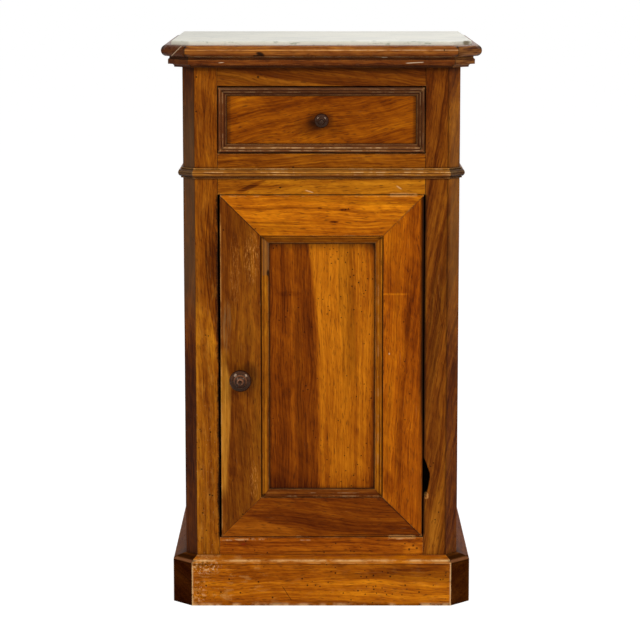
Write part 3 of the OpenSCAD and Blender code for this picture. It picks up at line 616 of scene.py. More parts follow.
def joint(f, base, low, high, share=0.55):
    """The hair line where a rail meets the posts, dark with old polish."""
    line = abs(f.x).near(0.1461, 0.0011) * f.band("z", low, high, 1)
    return base.mixed(DARK, line * (share * 0.5 + f.cloud(f.spot(0.0, f.x, f.z * 60.0), 1.0, 2.0) * share))


def gap_grime(f, base, x, width, low, high):
    """Painted shade on the face beside the gap of a door, which fades away from the gap."""
    side = (f.x - x * MM).near(0.0, width * MM) * f.band("z", low, high, 3)
    return base.mixed(DARK, side * (0.5 + f.cloud(f.place, 45.0) * 0.7))


print("marks on the front start at y", round(FACE_Y, 4), "m")

# %% [markdown]
# The three rails run across, so their flames lie down. The top rail is brown with a lighter wedge at its left, the
# middle one has a dark flame that climbs to the right, and the bottom one is scraped along its top edge. A hair line
# of old polish marks each joint with the posts. It could be a real gap, but it is far too thin to show as one.


# %% The rails
def top_rail_zone(f, value):
    wedge = below(f, -132, 762, -0.13, 2.5) * f.x.fall(0.02, 0.05)
    return value + wedge * 0.30 + f.oval(75, 765, 40, 6) * 0.1 - 0.08


def top_rail_marks(f, base):
    return bore(f, joint(f, base, 742, 785), [(-88.4, 754.7)], 1.9, 0.8)


def middle_rail_zone(f, value):
    flame = f.oval(-101, 600.5, 25, 4.5, 0.42) * (0.6 + f.cloud(f.spot(f.x * 20.0, 0.0, f.z * 120.0), 1.0, 3.0) * 0.8)
    # painted light on the rail just under the string, more to the right, which lifts the string's shadow
    low = f.z.fall(0.608, 0.616) * f.x.rise(-0.12, -0.02)
    low = low + f.band("z", 604, 613, 2) * 0.9
    end = f.x.fall(-0.134, -0.118) * f.z.fall(0.61, 0.62)
    brown = f.oval(-80, 640, 45, 9) * 0.12 + f.oval(-117, 604, 11, 8) * 0.10
    return value + low * 0.18 - flame * 0.36 - end * 0.1 - f.z.rise(0.63, 0.64) * 0.05 - brown


def middle_rail_marks(f, base):
    base = base.mixed(PALE, f.line(-22, 596, -12, 593, 1.2) * 0.6 + f.line(106, 602, 112, 598, 1.6) * 0.5)
    return bore(f, joint(f, base, 590, 648, 0.9), [(-39.5, 628.3), (-58, 600), (118, 620.0)], 1.4, 0.85)


def bottom_rail_zone(f, value):
    return value + f.oval(130, 76, 16, 12) * 0.3 - f.line(-140, 86, 140, 91, 5, 12) * 0.15


def bottom_rail_marks(f, base):
    rough_edge = f.cloud(f.place, 140.0, 4.0, 0.7).rise(0.42, 0.58)
    scraped = (
        f.line(-140, 92, -82, 93.5, 2.2, 6) + f.line(-30, 92, -16, 92, 1.6) * 0.7
        + f.line(96, 93, 118, 94, 1.4) * 0.6
    )
    base = base.mixed(PALE, scraped * rough_edge * 0.5)
    base = base.mixed(colour(120, 34, 10), f.oval(-112, 86, 5, 2.5) * 0.6)
    base = base.mixed(DARK, f.line(-60, 74.5, 60, 76, 1.3, 20) * 0.5)
    return bore(f, joint(f, base, 40, 96, 0.7), [(132, 84), (137, 80), (126, 78)], 1.8, 0.7)


keep("top_rail", zone=top_rail_zone, marks=top_rail_marks)
keep("middle_rail", zone=middle_rail_zone, marks=middle_rail_marks)
keep("bottom_rail", zone=bottom_rail_zone, marks=bottom_rail_marks)

# %% [markdown]
# The left post shows nested bows of grain at its middle, where the saw cut across the rings, and it is darker above
# them. Its edge along the door is eaten away in places, and a ragged band of painted shade from the gap lies along it.
# Its foot is specked pale, and a dark streak runs up beside the drawer. Its cut corner is painted darker as shade, most
# at the bottom, with a greyish painted reflection higher up. The bows are three lines at set distances from one curve,
# which keeps them nested.


# %% The left post
LEFT_POST_HOLES = [
    (-174.5, 754.7), (-175.3, 706.6), (-160, 158.5), (-156, 157.5), (-170, 132), (-158, 250), (-171, 196),
]


def left_cant(f):
    """1 on the cut corner of the left post and 0 on its front."""
    return f.x.fall(-0.1790, -0.1775)


def post_left_zone(f, value):
    cant = left_cant(f)
    upper = f.z.rise(0.44, 0.50)
    bow = f.x + 0.1632 - (f.z - 0.505) ** 2 * 0.9
    curve = bow.rise(-0.0012, 0.0020)
    dark = curve * f.z.rise(0.33, 0.38) * f.z.fall(0.50, 0.54)
    streak = f.line(-165.5, 640, -162, 745, 4.0, 20) + f.oval(-153, 690, 5, 30) * 0.5
    inner = upper * f.x.rise(-0.166, -0.160)
    pale = f.oval(-163, 250, 9, 60) * 0.12 + f.oval(-165, 110, 12, 30) * 0.06 + f.oval(-155, 380, 8, 35) * 0.10
    pale = (
        pale + f.x.fall(-0.1765, -0.171) * (1.0 - cant) * f.z.rise(0.36, 0.44, 0.14, 0.02)
        - f.oval(-158, 530, 16, 60) * 0.08
    )
    bows = bow.near(0.0005, 0.0016) + bow.near(0.0050, 0.0012) * 0.6 + bow.near(0.0096, 0.0014) * 0.7
    dark = dark + bows * f.band("z", 392, 580, 14) * 1.2
    pale = pale + (1.0 - curve) * f.band("z", 350, 440, 14) * 0.10
    # painted shade: the cut corner is darker, most at the bottom
    tall = f.z.rise(0.36, 0.44, 0.45, 0.36) + f.z.rise(0.70, 0.75) * 0.08
    return value - cant * tall - dark * 0.19 - streak * 0.14 - upper * (1.0 - cant) * 0.07 - inner * 0.08 + pale


def post_left_marks(f, base):
    arris = abs(f.x).near(0.1782, 0.0011)
    base = base.mixed(DARK, arris * (0.45 + f.z.rise(0.62, 0.66) * 0.35))
    specks = f.cloud(f.place, 300.0, 3.0, 0.7).rise(0.65, 0.72) * f.z.rise(0.20, 0.38, 0.5, 0.0) * skin(f)
    base = base.mixed(PALE, specks * (0.5 + (f.x + 0.1762).near(0.0, 0.0018)))
    # painted shade from the gap, nearly black, along the ragged edge by the door
    ragged = (f.cloud(f.place, 300.0, 3.0, 0.75) - 0.5) * 0.009 + (f.cloud(f.place, 30.0) - 0.5) * 0.006
    eaten_edge_shade = (f.x + 0.1462 + ragged).rise(-0.0036, 0.0002) * f.band("z", 96, 590, 6)
    base = base.mixed(colour(14, 6, 3), eaten_edge_shade * skin(f, 0.35) * 0.95)
    mottled = f.cloud(f.spot(f.x * 120.0, 0.0, f.z * 34.0), 1.0, 4.0, 0.65).rise(0.5, 0.66) * f.band("x", -178, -148, 2)
    base = base.mixed(colour(188, 122, 40), mottled * f.z.rise(0.30, 0.56, 0.35, 0.08))
    # a greyish painted reflection on the cut corner, higher up
    cant = left_cant(f) * f.band("z", 430, 730, 60)
    base = base.mixed(colour(96, 70, 44), cant * (0.25 + f.cloud(f.spot(f.x * 200.0, 0.0, f.z * 8.0), 1.0, 3.0) * 0.6))
    # more painted shade on the cut corner, strongest at the bottom
    dim = f.z.rise(0.27, 0.44, 0.42, 0.04) + f.z.rise(0.665, 0.70) * 0.18
    base = base.mixed(DARK, left_cant(f) * dim)
    return bore(f, base, LEFT_POST_HOLES, 1.3, 0.85)


keep("front_post_left", zone=post_left_zone, marks=post_left_marks)

# %% [markdown]
# The right post is darker, with a knot's streaks beside the door and a dark, uneven arris. Painted shade darkens it
# beside the door's gap, and its cut corner carries painted shade low down and a pale brown painted sheen higher up, a
# reflection along its outer edge. The inside of the torn place is painted near black as shadow here, and its depth is
# cut further below.


# %% The right post
def post_right_zone(f, value):
    cant = f.x.rise(0.1775, 0.1790)
    upper = f.z.rise(0.60, 0.65)
    near_gap = f.x.fall(0.160, 0.168) * f.band("z", 280, 745, 40)
    # painted shade on the post beside the door's gap
    knot = (
        f.line(162, 470, 171, 402, 2.2, 10) + f.line(158, 456, 165, 418, 1.4, 8) * 0.8
        + f.oval(168, 480, 7, 16) * 0.5
    )
    # the cut corner: painted shade low down, painted light higher up
    return (
        value + cant * (f.z.rise(0.28, 0.60, -0.19, 0.09) - f.z.rise(0.70, 0.74) * 0.1)
        + f.oval(160, 120, 18, 60) * 0.14 - upper * 0.08 - near_gap * 0.06 - knot * 0.2
    )


def post_right_marks(f, base):
    uneven = (f.cloud(f.spot(0.0, 0.0, f.z * 22.0), 1.0, 3.0) - 0.5) * 0.004
    arris = (f.x - 0.1776 + uneven).near(0.0, 0.0022)
    # a pale brown painted sheen on the cut corner, higher up
    cant_sheen = f.x.rise(0.1790, 0.1840) * f.band("z", 450, 690, 130)
    base = base.mixed(
        colour(154, 106, 54), cant_sheen * (0.08 + f.cloud(f.spot(f.x * 260.0, 0.0, f.z * 9.0), 1.0, 3.0) * 0.42)
    )
    base = base.mixed(DARK, arris * 0.55)
    base = gap_grime(f, base, 146, 4.5, 100, 590)
    # a near black painted shadow in the hollow of the torn place
    inside = f.band("z", 153, 214, 1.0) * f.y.rise(FACE_Y + 0.0008, FACE_Y + 0.0025) * f.x.fall(0.156, 0.158)
    base = base.mixed(colour(8, 4, 2), inside)
    torn = f.cloud(f.place, 240.0, 3.0, 0.7).rise(0.40, 0.56)
    base = base.mixed(TAN, f.oval(150.5, 157, 4.0, 6) * torn * 0.6)
    return bore(f, base, [(163, 122), (168, 133), (160, 205), (156, 200)], 1.2, 0.8)


keep("front_post_right", zone=post_right_zone, marks=post_right_marks)

# %% [markdown]
# The door's frame is mitred. Two of its mitres have opened a hair and filled with dirt, and two are only a change of
# grain. The top rail of the door is the lightest board, with three small knots.


# %% The door's mitres and top rail
def mitre(f, base, side, top, share):
    """A dark line along one mitre of the door frame."""
    x0, x1 = side * 143.5, side * 87.0
    z0, z1 = (588.4, 532.4) if top else (97.9, 153.9)
    return base.mixed(DARK, f.line(x0, z0, x1, z1, 1.0) * share)


def door_top_zone(f, value):
    knots = f.oval(33, 568.7, 10, 1.8) + f.oval(18, 551.5, 8, 2.0) + f.oval(-2, 571, 4, 1.5)
    left = f.x.fall(-0.06, 0.0) * f.z.rise(0.556, 0.566)
    return value - knots * 0.4 + f.oval(75, 572, 30, 12) * 0.12 - f.oval(-98, 570, 26, 6) * 0.08 - left * 0.05


def door_top_marks(f, base):
    base = base.mixed(
        TAN, f.line(-130, 587.6, 122, 587.6, 1.3, 4) * f.cloud(f.place, 60.0, 4.0, 0.7).rise(0.5, 0.64) * 0.5
    )
    base = mitre(f, mitre(f, base, -1, True, 0.9), 1, True, 0.35)
    base = base.mixed(colour(120, 52, 10), f.oval(104, 553, 4, 2.5) * 0.55)
    return bore(f, base, [(-93, 541.5), (34, 569), (29, 568), (38, 570), (19, 551)], 1.1, 0.8)


keep("door_rail_top", zone=door_top_zone, marks=door_top_marks)

# %% [markdown]
# The left stile was cut from the outside of the trunk, so a strip of pale sapwood runs up its outer edge and gets
# narrower towards both ends. Hands have darkened the wood beside the knob, and the knob's shadow is painted there too.
# Golden flecks stand where the light catches the fibres.


# %% The left stile
def sap_width(f):
    return f.z.rise(0.17, 0.30, 0.0085, 0.0135) * f.z.rise(0.315, 0.365, 1.0, 0.5)


def past_sapwood(f):
    """How far a point lies to the right of the sapwood's edge, in metres."""
    return f.x + 0.1432 - sap_width(f)


def sapwood(f):
    """The pale strip along the outer edge of the left stile, 1 inside it."""
    return past_sapwood(f).fall(-0.0028, 0.0028) * f.band("z", 166, 350, 18)


def stile_left_zone(f, value):
    beside = (past_sapwood(f) - 0.006).near(0.0, 0.006) * f.band("z", 230, 345, 30)
    inner = f.x.rise(-0.108, -0.094) * f.z.fall(0.35, 0.50)
    outer = f.x.fall(-0.122, -0.112)
    high = f.z.rise(0.36, 0.42) * f.x.fall(-0.130, -0.126)
    return (
        value + sapwood(f) * 0.36 + inner * 0.08 - beside * 0.06 - outer * 0.09 - high * 0.05
        + f.oval(-138, 362, 9, 14) * 0.2
    )


def stile_left_marks(f, base):
    drawn = f.cloud(f.spot(f.z * 14.0, f.x * 420.0, 0.0), 1.0, 3.0, 0.7)
    base = base.mixed(colour(192, 128, 40), sapwood(f) * drawn.rise(0.25, 0.75, 0.1, 0.95))
    base = base.mixed(colour(146, 112, 66), f.oval(-134, 402, 8, 46) * drawn.rise(0.4, 0.65) * 0.45)
    base = mitre(f, base, -1, True, 0.9)
    # the knob's painted shadow to its right and above it, with the dirt of hands
    knob_shadow_and_hand_dirt = f.oval(-106, 328, 24, 26) * 0.38 + f.oval(-102, 336, 14, 20) * 0.22
    base = base.mixed(colour(40, 16, 6), knob_shadow_and_hand_dirt)
    chafed = f.line(-142.3, 110, -142.3, 560, 1.4, 6) * skin(f)
    base = base.mixed(TAN, chafed * (0.1 + f.cloud(f.place, 50.0, 4.0, 0.7).rise(0.42, 0.6) * 0.5))
    flecks = f.cloud(f.spot(f.z * 110.0, f.x * 800.0, 0.0), 1.0, 3.0, 0.7).rise(0.52, 0.66)
    golden = f.oval(-98, 500, 14, 44) + f.oval(-96, 180, 8, 34) + f.oval(-122, 480, 10, 60) * 0.5
    base = base.mixed(colour(212, 140, 62), flecks * golden * 0.72)
    return bore(f, base, [(-113, 130), (-138, 540)], 1.3, 0.8)


keep("door_stile_left", zone=stile_left_zone, marks=stile_left_marks)

# %% [markdown]
# The right stile is orange and quieter, with a scar two thirds of the way up where a repair starts. The bottom rail
# of the door is gold at its left end and brown at its right. Painted shade lies on the faces beside the gap at the
# post, and a soft, nearly black painted shadow runs up the stile's hinge edge from about 0.2 m up.


# %% The right stile and the door's bottom rail
def stile_right_zone(f, value):
    over = f.z.rise(0.4495, 0.4515) * f.z.fall(0.455, 0.50) * f.x.fall(0.118, 0.130)
    scar = f.z.near(0.4485, 0.0022) * f.x.fall(0.116, 0.126)
    streak = f.line(136, 475, 124, 420, 3.5, 15)
    inner = f.x.fall(0.096, 0.106)
    outer = f.x.rise(0.116, 0.132) * (f.z.rise(0.26, 0.36, 0.05, 0.13) - f.z.rise(0.47, 0.51) * 0.09)
    middle = f.oval(120, 425, 9, 45) * 0.12 + f.oval(121, 408, 7, 30) * 0.14 + f.oval(96, 173, 9, 24) * 0.24
    top = f.oval(94, 535, 11, 50) * 0.14
    return value - over * 0.10 + scar * 0.24 - streak * 0.14 + inner * 0.06 - outer - middle + top


def stile_right_marks(f, base):
    # a soft, nearly black painted shadow along the hinge edge, from about 0.2 m up
    soft = (f.x - 0.1372).rise(0.0, 0.0060) * f.z.rise(0.20, 0.32)
    base = base.mixed(colour(16, 6, 2), soft * 0.92)
    base = gap_grime(f, base, 144.6, 3.4, 100, 588)
    base = mitre(f, mitre(f, base, 1, False, 0.85), 1, True, 0.35)
    base = base.mixed(PALE, f.oval(96.3, 363.2, 1.4, 1.8) * 0.5)
    return bore(f, base, [(116.4, 409), (125.7, 305.5), (119, 268), (118, 352)], 1.2, 0.7)


def rail_low_zone(f, value):
    gold = below(f, -110, 130, -0.34, 5) * f.x.fall(-0.05, -0.02)
    dark = f.line(-70, 135, 60, 118, 9, 30)
    return value + gold * 0.32 - dark * 0.12 + f.oval(45, 146, 50, 9) * 0.12


def rail_low_marks(f, base):
    base = mitre(f, mitre(f, base, 1, False, 0.85), -1, False, 0.25)
    return base.mixed(DARK, f.line(20, 99.6, 143, 99.6, 1.6, 10) * 0.6)


keep("door_stile_right", zone=stile_right_zone, marks=stile_right_marks)
keep("door_rail_bottom", zone=rail_low_zone, marks=rail_low_marks)

# %% [markdown]
# The panel is one wide board. Its left part is brown heartwood and its right part is orange, and they meet along a
# line that leans to the left as it climbs. A drying crack runs up to the top a little to the right of it, and beetles
# have bored the orange part most. Its edges are darkened with painted shade where they meet the moulding.


# %% The door panel
WORMHOLES = [
    (23.8, 497.5), (34.0, 493.0), (27.4, 444.1), (28.2, 413.8), (11.6, 424), (9.4, 430), (8.0, 419), (44.1, 483),
    (58.5, 493), (60.0, 448.4), (57.1, 422.4), (46.2, 425.3), (68.1, 390), (60.7, 376.2), (12.0, 446), (13.4, 500.4),
    (22.0, 508), (37, 507), (52, 505), (41, 472), (33, 214), (38, 226), (52, 201), (21, 190), (12, 183), (46, 185),
    (57, 214), (64, 232), (28, 176), (43, 170), (60, 178), (8, 208), (68, 196), (35, 192), (-12, 250), (-60, 410),
    (-4.5, 441), (2, 440), (50, 300), (36, 330), (61, 318), (24, 265),
]


def panel_zone(f, value):
    climb = (f.z.math("MAXIMUM", f.z, 0.30) - 0.30) / 0.218
    edge = climb * climb * -0.0142 - 0.0030 + (f.cloud(f.spot(0.0, 0.0, f.z * 14.0), 1.0) - 0.5) * 0.003
    light = (f.x - edge).rise(-0.0040, 0.0022)
    value = value - 0.19 + light * 0.40
    value = value + light * (f.x - edge).fall(0.0, 0.030) * f.z.rise(0.30, 0.45) * 0.10
    brown = f.oval(-50, 304, 10, 11) * 0.14 + f.oval(-38, 318, 12, 8) * 0.08
    brown = brown + f.oval(-46, 448, 22, 5) * 0.10 + f.oval(-20, 400, 18, 60) * 0.03
    value = value - brown
    side = f.line(62, 530, 66, 400, 8, 30)
    right = f.x.rise(0.055, 0.078) * (f.z.rise(0.22, 0.40, 0.44, 0.06) + f.z.rise(0.42, 0.52) * 0.28)
    value = value + f.oval(32, 470, 9, 100) * 0.14 + f.oval(-66, 445, 12, 90) * 0.08
    value = value - f.x.rise(-0.070, -0.060) * f.x.fall(-0.030, -0.010) * f.z.rise(0.28, 0.36, 0.08, 0.0)
    foot = f.z.fall(0.165, 0.200) * 0.16 + light * f.z.fall(0.18, 0.32) * f.x.fall(0.0, 0.02) * 0.1
    return value - side * 0.08 - right - foot - f.oval(-48, 330, 9, 200) * 0.08


def panel_marks(f, base):
    wander = (f.cloud(f.spot(0.0, 0.0, f.z * 12.0), 1.0) - 0.5) * 0.0016
    crack = (f.x - 0.0250 + wander).near(0.0, 0.0007) * f.z.rise(0.38, 0.44)
    base = base.mixed(DARK, crack * 0.8)
    # painted shade along the edges of the panel, next to the moulding
    rim = f.x.rise(0.0690, 0.0775) * 0.5 + f.x.fall(-0.0760, -0.0690) * 0.4
    rim = rim + f.z.rise(0.506, 0.522) * 0.55 + f.z.fall(0.1650, 0.1720) * 0.45 + f.oval(74, 516, 16, 12) * 0.2
    base = base.mixed(DARK_DIRT_AND_SHADE, rim)
    return bore(f, base, WORMHOLES, 1.0, 0.85)


keep("door_panel", zone=panel_zone, marks=panel_marks)

# %% [markdown]
# The drawer front is a calm board, lighter at its top left. Fingers that reach for the knob have darkened the wood
# round it and a little below it, where they rest, and the knob's shadow is painted there too, mostly to its lower
# left. Painted shade darkens the board along its sides, next to the moulding.


# %% The drawer front
def drawer_zone(f, value):
    return value + f.oval(-105, 716, 34, 16) * 0.14 - f.oval(45, 722, 75, 14) * 0.14 - 0.02


def drawer_marks(f, base):
    # painted shade along the sides of the board, next to the moulding
    rim = (f.x.rise(0.1265, 0.1300) + f.x.fall(-0.1290, -0.1255)) * 0.45
    base = base.mixed(DARK_DIRT_AND_SHADE, rim)
    # the knob's painted shadow, mostly to its lower left, with the dirt of fingers
    knob_shadow_and_finger_dirt = f.oval(-1, 694, 23, 15) * 0.5 + f.oval(-10, 687, 15, 10) * 0.3 + f.oval(-14, 684, 34, 18) * 0.2
    return base.mixed(colour(44, 17, 5), knob_shadow_and_finger_dirt)


keep("drawer_front", zone=drawer_zone, marks=drawer_marks)

# %% [markdown]
# The plinth is what brooms and shoes meet. Its top edge is rubbed pale in patches and carries a painted highlight along
# its round, with a painted shadow line under it. Its foot and its corners are knocked down to bare wood, and the finish
# at its left end has gone to a crackle of pale chips and dark dirt.


# %% The front of the plinth
PLINTH_HOLES = [
    (-165, 29.5), (-144, 20), (-116, 19), (-132, 39), (-27.5, 39.6), (74.5, 44.5), (98.5, 43), (52.5, 22),
    (75, 24), (-20, 30), (20, 48), (120, 30), (-90, 35), (-70, 12), (140, 20),
]


def plinth_zone(f, value):
    left = f.x.fall(-0.186, -0.10) * f.z.rise(0.035, 0.062)
    flame = f.line(60, 45, 185, 62, 9, 20)
    gold = f.z.near(0.0350, 0.0110) * 0.14 - f.z.near(0.0250, 0.0060) * 0.06 - f.band("z", 44, 54, 3) * 0.05
    flame = flame + f.oval(-177, 34, 13, 10) * 0.8
    return value + left * 0.1 - flame * 0.2 + gold - f.z.near(0.0085, 0.0120) * 0.05


def plinth_marks(f, base):
    low = f.z.fall(0.0, 0.006) * f.cloud(f.place, 55.0, 3.0).rise(0.42, 0.6)
    ends = abs(f.x).rise(0.1825, 0.1855) * f.cloud(f.place, 70.0, 3.0).rise(0.35, 0.5)
    patchy = f.cloud(f.spot(f.x * 0.35, 0.0, f.z), 90.0, 4.0, 0.7)
    # the top edge: patches rubbed pale, and a painted highlight along its round
    cap = (
        f.z.near(0.0652, 0.0030) * patchy.rise(0.34, 0.58) * 0.7
        + f.z.near(0.0622, 0.0014) * patchy.rise(0.45, 0.6) * 0.5
    )
    base = base.mixed(PALE, low * 0.6 + ends * 0.7)
    base = base.mixed(TAN, cap)
    # a brighter painted highlight along the round
    base = base.mixed(colour(236, 190, 128), f.z.near(0.0656, 0.0013) * patchy.rise(0.38, 0.62) * 0.75)
    base = base.mixed(
        colour(120, 50, 22), f.z.rise(0.0678, 0.0692) * f.cloud(f.place, 40.0, 2.0).rise(0.35, 0.6) * 0.45
    )
    chafed = (
        f.cloud(f.spot(f.x * 40.0, 0.0, f.z * 110.0), 1.0, 5.0, 0.7).rise(0.53, 0.64)
        * f.x.rise(-0.186, -0.02, 1.0, 0.15)
    )
    base = base.mixed(colour(206, 150, 78), chafed * 0.45)
    crackle = f.cloud(f.place, 260.0, 4.0, 0.75)
    knocked = f.oval(-168, 58, 28, 14) + f.oval(-176, 20, 15, 26) * 0.6
    base = base.mixed(PALE, crackle.rise(0.53, 0.64) * knocked * 0.7)
    base = base.mixed(DARK, crackle.fall(0.36, 0.47) * (knocked + f.oval(-160, 14, 34, 14) * 0.6) * 0.75)
    # a painted shadow line under the round of the top edge, and a short scratch
    base = base.mixed(DARK, f.line(-185, 60.6, 185, 60.6, 1.1, 4) * 0.65 + f.line(-56, 28.5, -43, 8, 0.9) * 0.8)
    return bore(f, base, PLINTH_HOLES, 1.4, 0.85)


keep("plinth_front", zone=plinth_zone, marks=plinth_marks)

# %% [markdown]
# The sides of the plinth keep dust and old wax on their ledge, with painted shade against the cupboard's side and a
# painted shadow line under their round. Its cut corners are painted nearly black as shade, with painted light on the
# lip and the round of their top and painted shade in the cove above and in a line below. The same two functions serve
# both sides and both corners, with a little more light on the right corner.


# %% The rest of the plinth
def plinth_side_zone(f, value):
    # a painted shadow line under the round of the ledge
    return value - f.z.near(0.0612, 0.0010) * 0.3 + f.z.rise(0.0625, 0.0660) * 0.05


def plinth_side_marks(f, base):
    """Dust, old wax and painted shade on the ledge, thickest against the cupboard's side and at the front."""
    ledge = f.z.rise(0.0640, 0.0665)
    return base.mixed(
        colour(58, 26, 10), ledge * (abs(f.x).rise(0.196, 0.208, 0.5, 0.0) + f.y.rise(-0.142, -0.095, 0.55, 0.0))
    )


def plinth_cant_zone(f, value):
    right = f.x.rise(0.0, 0.01)
    # painted light on the lip, and more light on the right corner
    return value + f.z.rise(0.0605, 0.0635) * 0.42 + right * (0.14 + f.z.rise(0.012, 0.030, 0.2, 0.0)) - 0.05


def plinth_cant_marks(f, base):
    # painted highlight on the round, painted shade in the cove above it and in a line below it
    base = base.mixed(colour(132, 84, 52), f.band("z", 62.6, 65.8, 0.7) * (0.35 + f.cloud(f.place, 60.0, 3.0) * 0.7))
    hollow = f.band("z", 66.6, 69.0, 0.5) * 0.6 + f.z.near(0.0612, 0.0011) * 0.7
    base = base.mixed(DARK, hollow)
    return base.mixed(colour(116, 72, 44), f.z.rise(0.0692, 0.0700) * (abs(f.x).rise(0.188, 0.204, 0.0, 0.6)))


keep("plinth_cants", zone=plinth_cant_zone, marks=plinth_cant_marks)
for node in ("plinth_left", "plinth_right"):
    keep(node, zone=plinth_side_zone, marks=plinth_side_marks)

# %% [markdown]
# The top moulding carries painted shade under its round and in its hollows, and a painted highlight along the round's
# crest and on the fillet below it. A dark knot sits left of the middle, the seams at the cut corners have opened, and
# three nicks and a hairline show bare wood.


# %% The top moulding
def moulding_zone(f, value):
    # painted shade on the lower part of the round and below it
    under = f.z.fall(0.7860, 0.7905)
    lower = f.z.fall(0.7838, 0.7845)
    # a painted highlight along the crest of the round
    crest = f.z.near(0.7931, 0.0017) * 0.34 + f.z.near(0.7893, 0.0010) * 0.12
    uneven = f.cloud(f.spot(f.x * 14.0, 0.0, f.z * 40.0), 1.0, 3.0).rise(0.3, 0.6)
    return value - lower * 0.05 - under * 0.18 + crest * uneven - f.z.rise(0.7965, 0.7985) * 0.10


def past_mitre(f):
    """How far a point lies outside the mitre between the front moulding and a cut corner's, in metres."""
    return abs(f.x) + (f.y - FACE_Y) * 0.4142 - 0.178


def moulding_marks(f, base):
    knot = f.oval(-84.5, 787.6, 7.4, 3.9, -0.25) + f.oval(-91, 785.4, 5, 1.6)
    base = base.mixed(DARK, knot * 0.95)
    broken = f.cloud(f.spot(f.x, 0.0, f.z * 6.0), 40.0, 3.0).rise(0.42, 0.6)
    # a painted highlight along the round's crest, and on the fillet below it
    nose_highlight = (
        f.z.near(0.7933, 0.0011) * f.x.rise(-0.06, 0.03, 0.3, 1.0)
        * f.cloud(f.spot(f.x * 70.0, 0.0, 0.0), 1.0, 3.0).rise(0.3, 0.6)
    )
    base = base.mixed(PALE, nose_highlight * 0.5 + f.line(-192, 783.6, 192, 783.6, 0.8, 4) * (0.25 + broken * 0.35))
    # painted shadow lines under the round and under the fascia
    base = base.mixed(
        DARK, f.line(-200, 785.2, 200, 785.2, 0.9, 4) * 0.8 + f.line(-200, 769.4, 200, 769.4, 1.4, 4) * 0.85
    )
    seam = past_mitre(f).rise(-0.0020, -0.0002)
    base = base.mixed(DARK, seam * f.cloud(f.place, 60.0, 3.0).rise(0.3, 0.55) * 0.75)
    nicks = (
        f.line(-142, 775.4, -136, 775.9, 0.7) + f.line(118, 775.0, 141, 776.2, 0.8)
        + f.line(84, 783.0, 91, 783.0, 0.9)
    )
    base = base.mixed(colour(236, 214, 180), nicks * 0.7)
    return bore(f, base, [(169.7, 793.5)], 1.2, 0.9)


def cant_moulding_marks(f, base):
    base = base.mixed(colour(214, 186, 150), f.line(-193.5, 799, -210, 783, 0.7) * 0.8)
    seam = past_mitre(f).fall(0.0002, 0.0018)
    base = base.mixed(DARK, seam * 0.6)
    tan = f.x.rise(0.0, 0.01) * f.cloud(f.spot(f.x, 0.0, f.z * 9.0), 50.0, 2.0).rise(0.4, 0.6)
    return base.mixed(colour(150, 96, 44), tan * 0.6)


keep("top_moulding_front", zone=moulding_zone, marks=moulding_marks)
keep("top_moulding_cants", marks=cant_moulding_marks)

# %% [markdown]
# All the small mouldings are finished alike: dirt and painted shade lie in their hollows, and their crests are rubbed
# lighter and carry painted highlights. So one function makes any of them from two lists of distances, measured in from
# the moulding's outer edge. It could be left to the dirt and painted shade in the corners alone, but these hollows are
# shallow and would hardly darken.


# %% Mouldings
MOULD = {"shine": 0.08, "gloss": 0.3, "contrast": 0.9, "worn_share": 0.25, "scuffs": 0.2}


def mould(**more):
    return {**MOULD, **more}


def mended(f, base):
    """The greyish length let into the top of the left door moulding, with a dark notch at its end."""
    base = base.mixed(colour(116, 80, 48), f.band("z", 475, 530, 1.0) * f.x.rise(-0.0840, -0.0825) * 0.5)
    return base.mixed(DARK, f.oval(-75.6, 478, 2.4, 6) * 0.85)


def ridged(axis, edge, side, lines, crests, glint=0.0, extra=None, **more):
    """A moulding with dirt and painted shade in hollows at lines, and crests rubbed lighter with painted highlights.
    Each is (distance in from edge, width, share), in mm.
    """

    def inward(f):
        return ({"x": f.x, "z": f.z}[axis] - edge * MM) * side

    def zone(f, value):
        u = inward(f)
        # painted highlights on the crests; a share below 0 is painted shade on a slope
        for place, width, share in crests:
            value = value + u.near(place * MM, width * MM) * share
        return value

    def marks(f, base):
        u = inward(f)
        # dirt and painted shade in the hollows
        for place, width, share in lines:
            base = base.mixed(DARK, u.near(place * MM, width * MM) * share)
        # broken painted highlights along the crests
        if glint:
            broken = f.cloud(f.place, 48.0, 4.0, 0.7).rise(0.46, 0.60)
            for place, width, share in crests:
                base = base.mixed(PALE, u.near(place * MM, 0.7 * width * MM) * broken * (glint * share * 3))
        return extra(f, base) if extra else base

    return mould(zone=zone, marks=marks, **more)


DOOR_LINES = [(0.2, 1.6, 0.9), (4.4, 0.9, 0.2), (11.6, 1.6, 0.85)]
DOOR_CRESTS = [(2.2, 1.2, 0.10), (6.2, 1.6, 0.05), (9.4, 2.0, -0.04)]
DOOR_SIDE_LINES = [(0.9, 2.0, 0.85), (4.6, 0.8, 0.25), (11.6, 1.6, 0.85)]
DOOR_SIDE_CRESTS = [(3.0, 1.4, 0.12), (6.8, 2.8, 0.26), (9.6, 2.0, 0.04)]
DRAWER_LINES = [(0.0, 1.2, 0.85), (4.7, 0.9, 0.6), (8.6, 0.9, 0.5), (11.8, 1.5, 0.85)]
DRAWER_CRESTS = [(2.6, 1.3, 0.14), (6.7, 1.3, 0.26), (9.9, 1.4, -0.12)]
STRING_LINES = [(3.5, 0.7, 0.2), (7.1, 0.9, 0.5), (11.4, 1.3, 0.5), (14.4, 0.9, 0.35)]
STRING_CRESTS = [(1.4, 2.4, 0.24), (5.3, 1.3, 0.30), (8.8, 1.2, 0.20), (12.8, 2.4, -0.18)]


def on_door(axis, edge, side, **more):
    lines, crests = (DOOR_SIDE_LINES, DOOR_SIDE_CRESTS) if axis == "x" else (DOOR_LINES, DOOR_CRESTS)
    return ridged(axis, edge, side, lines, crests, shine=0.04, gloss=0.36, **more)


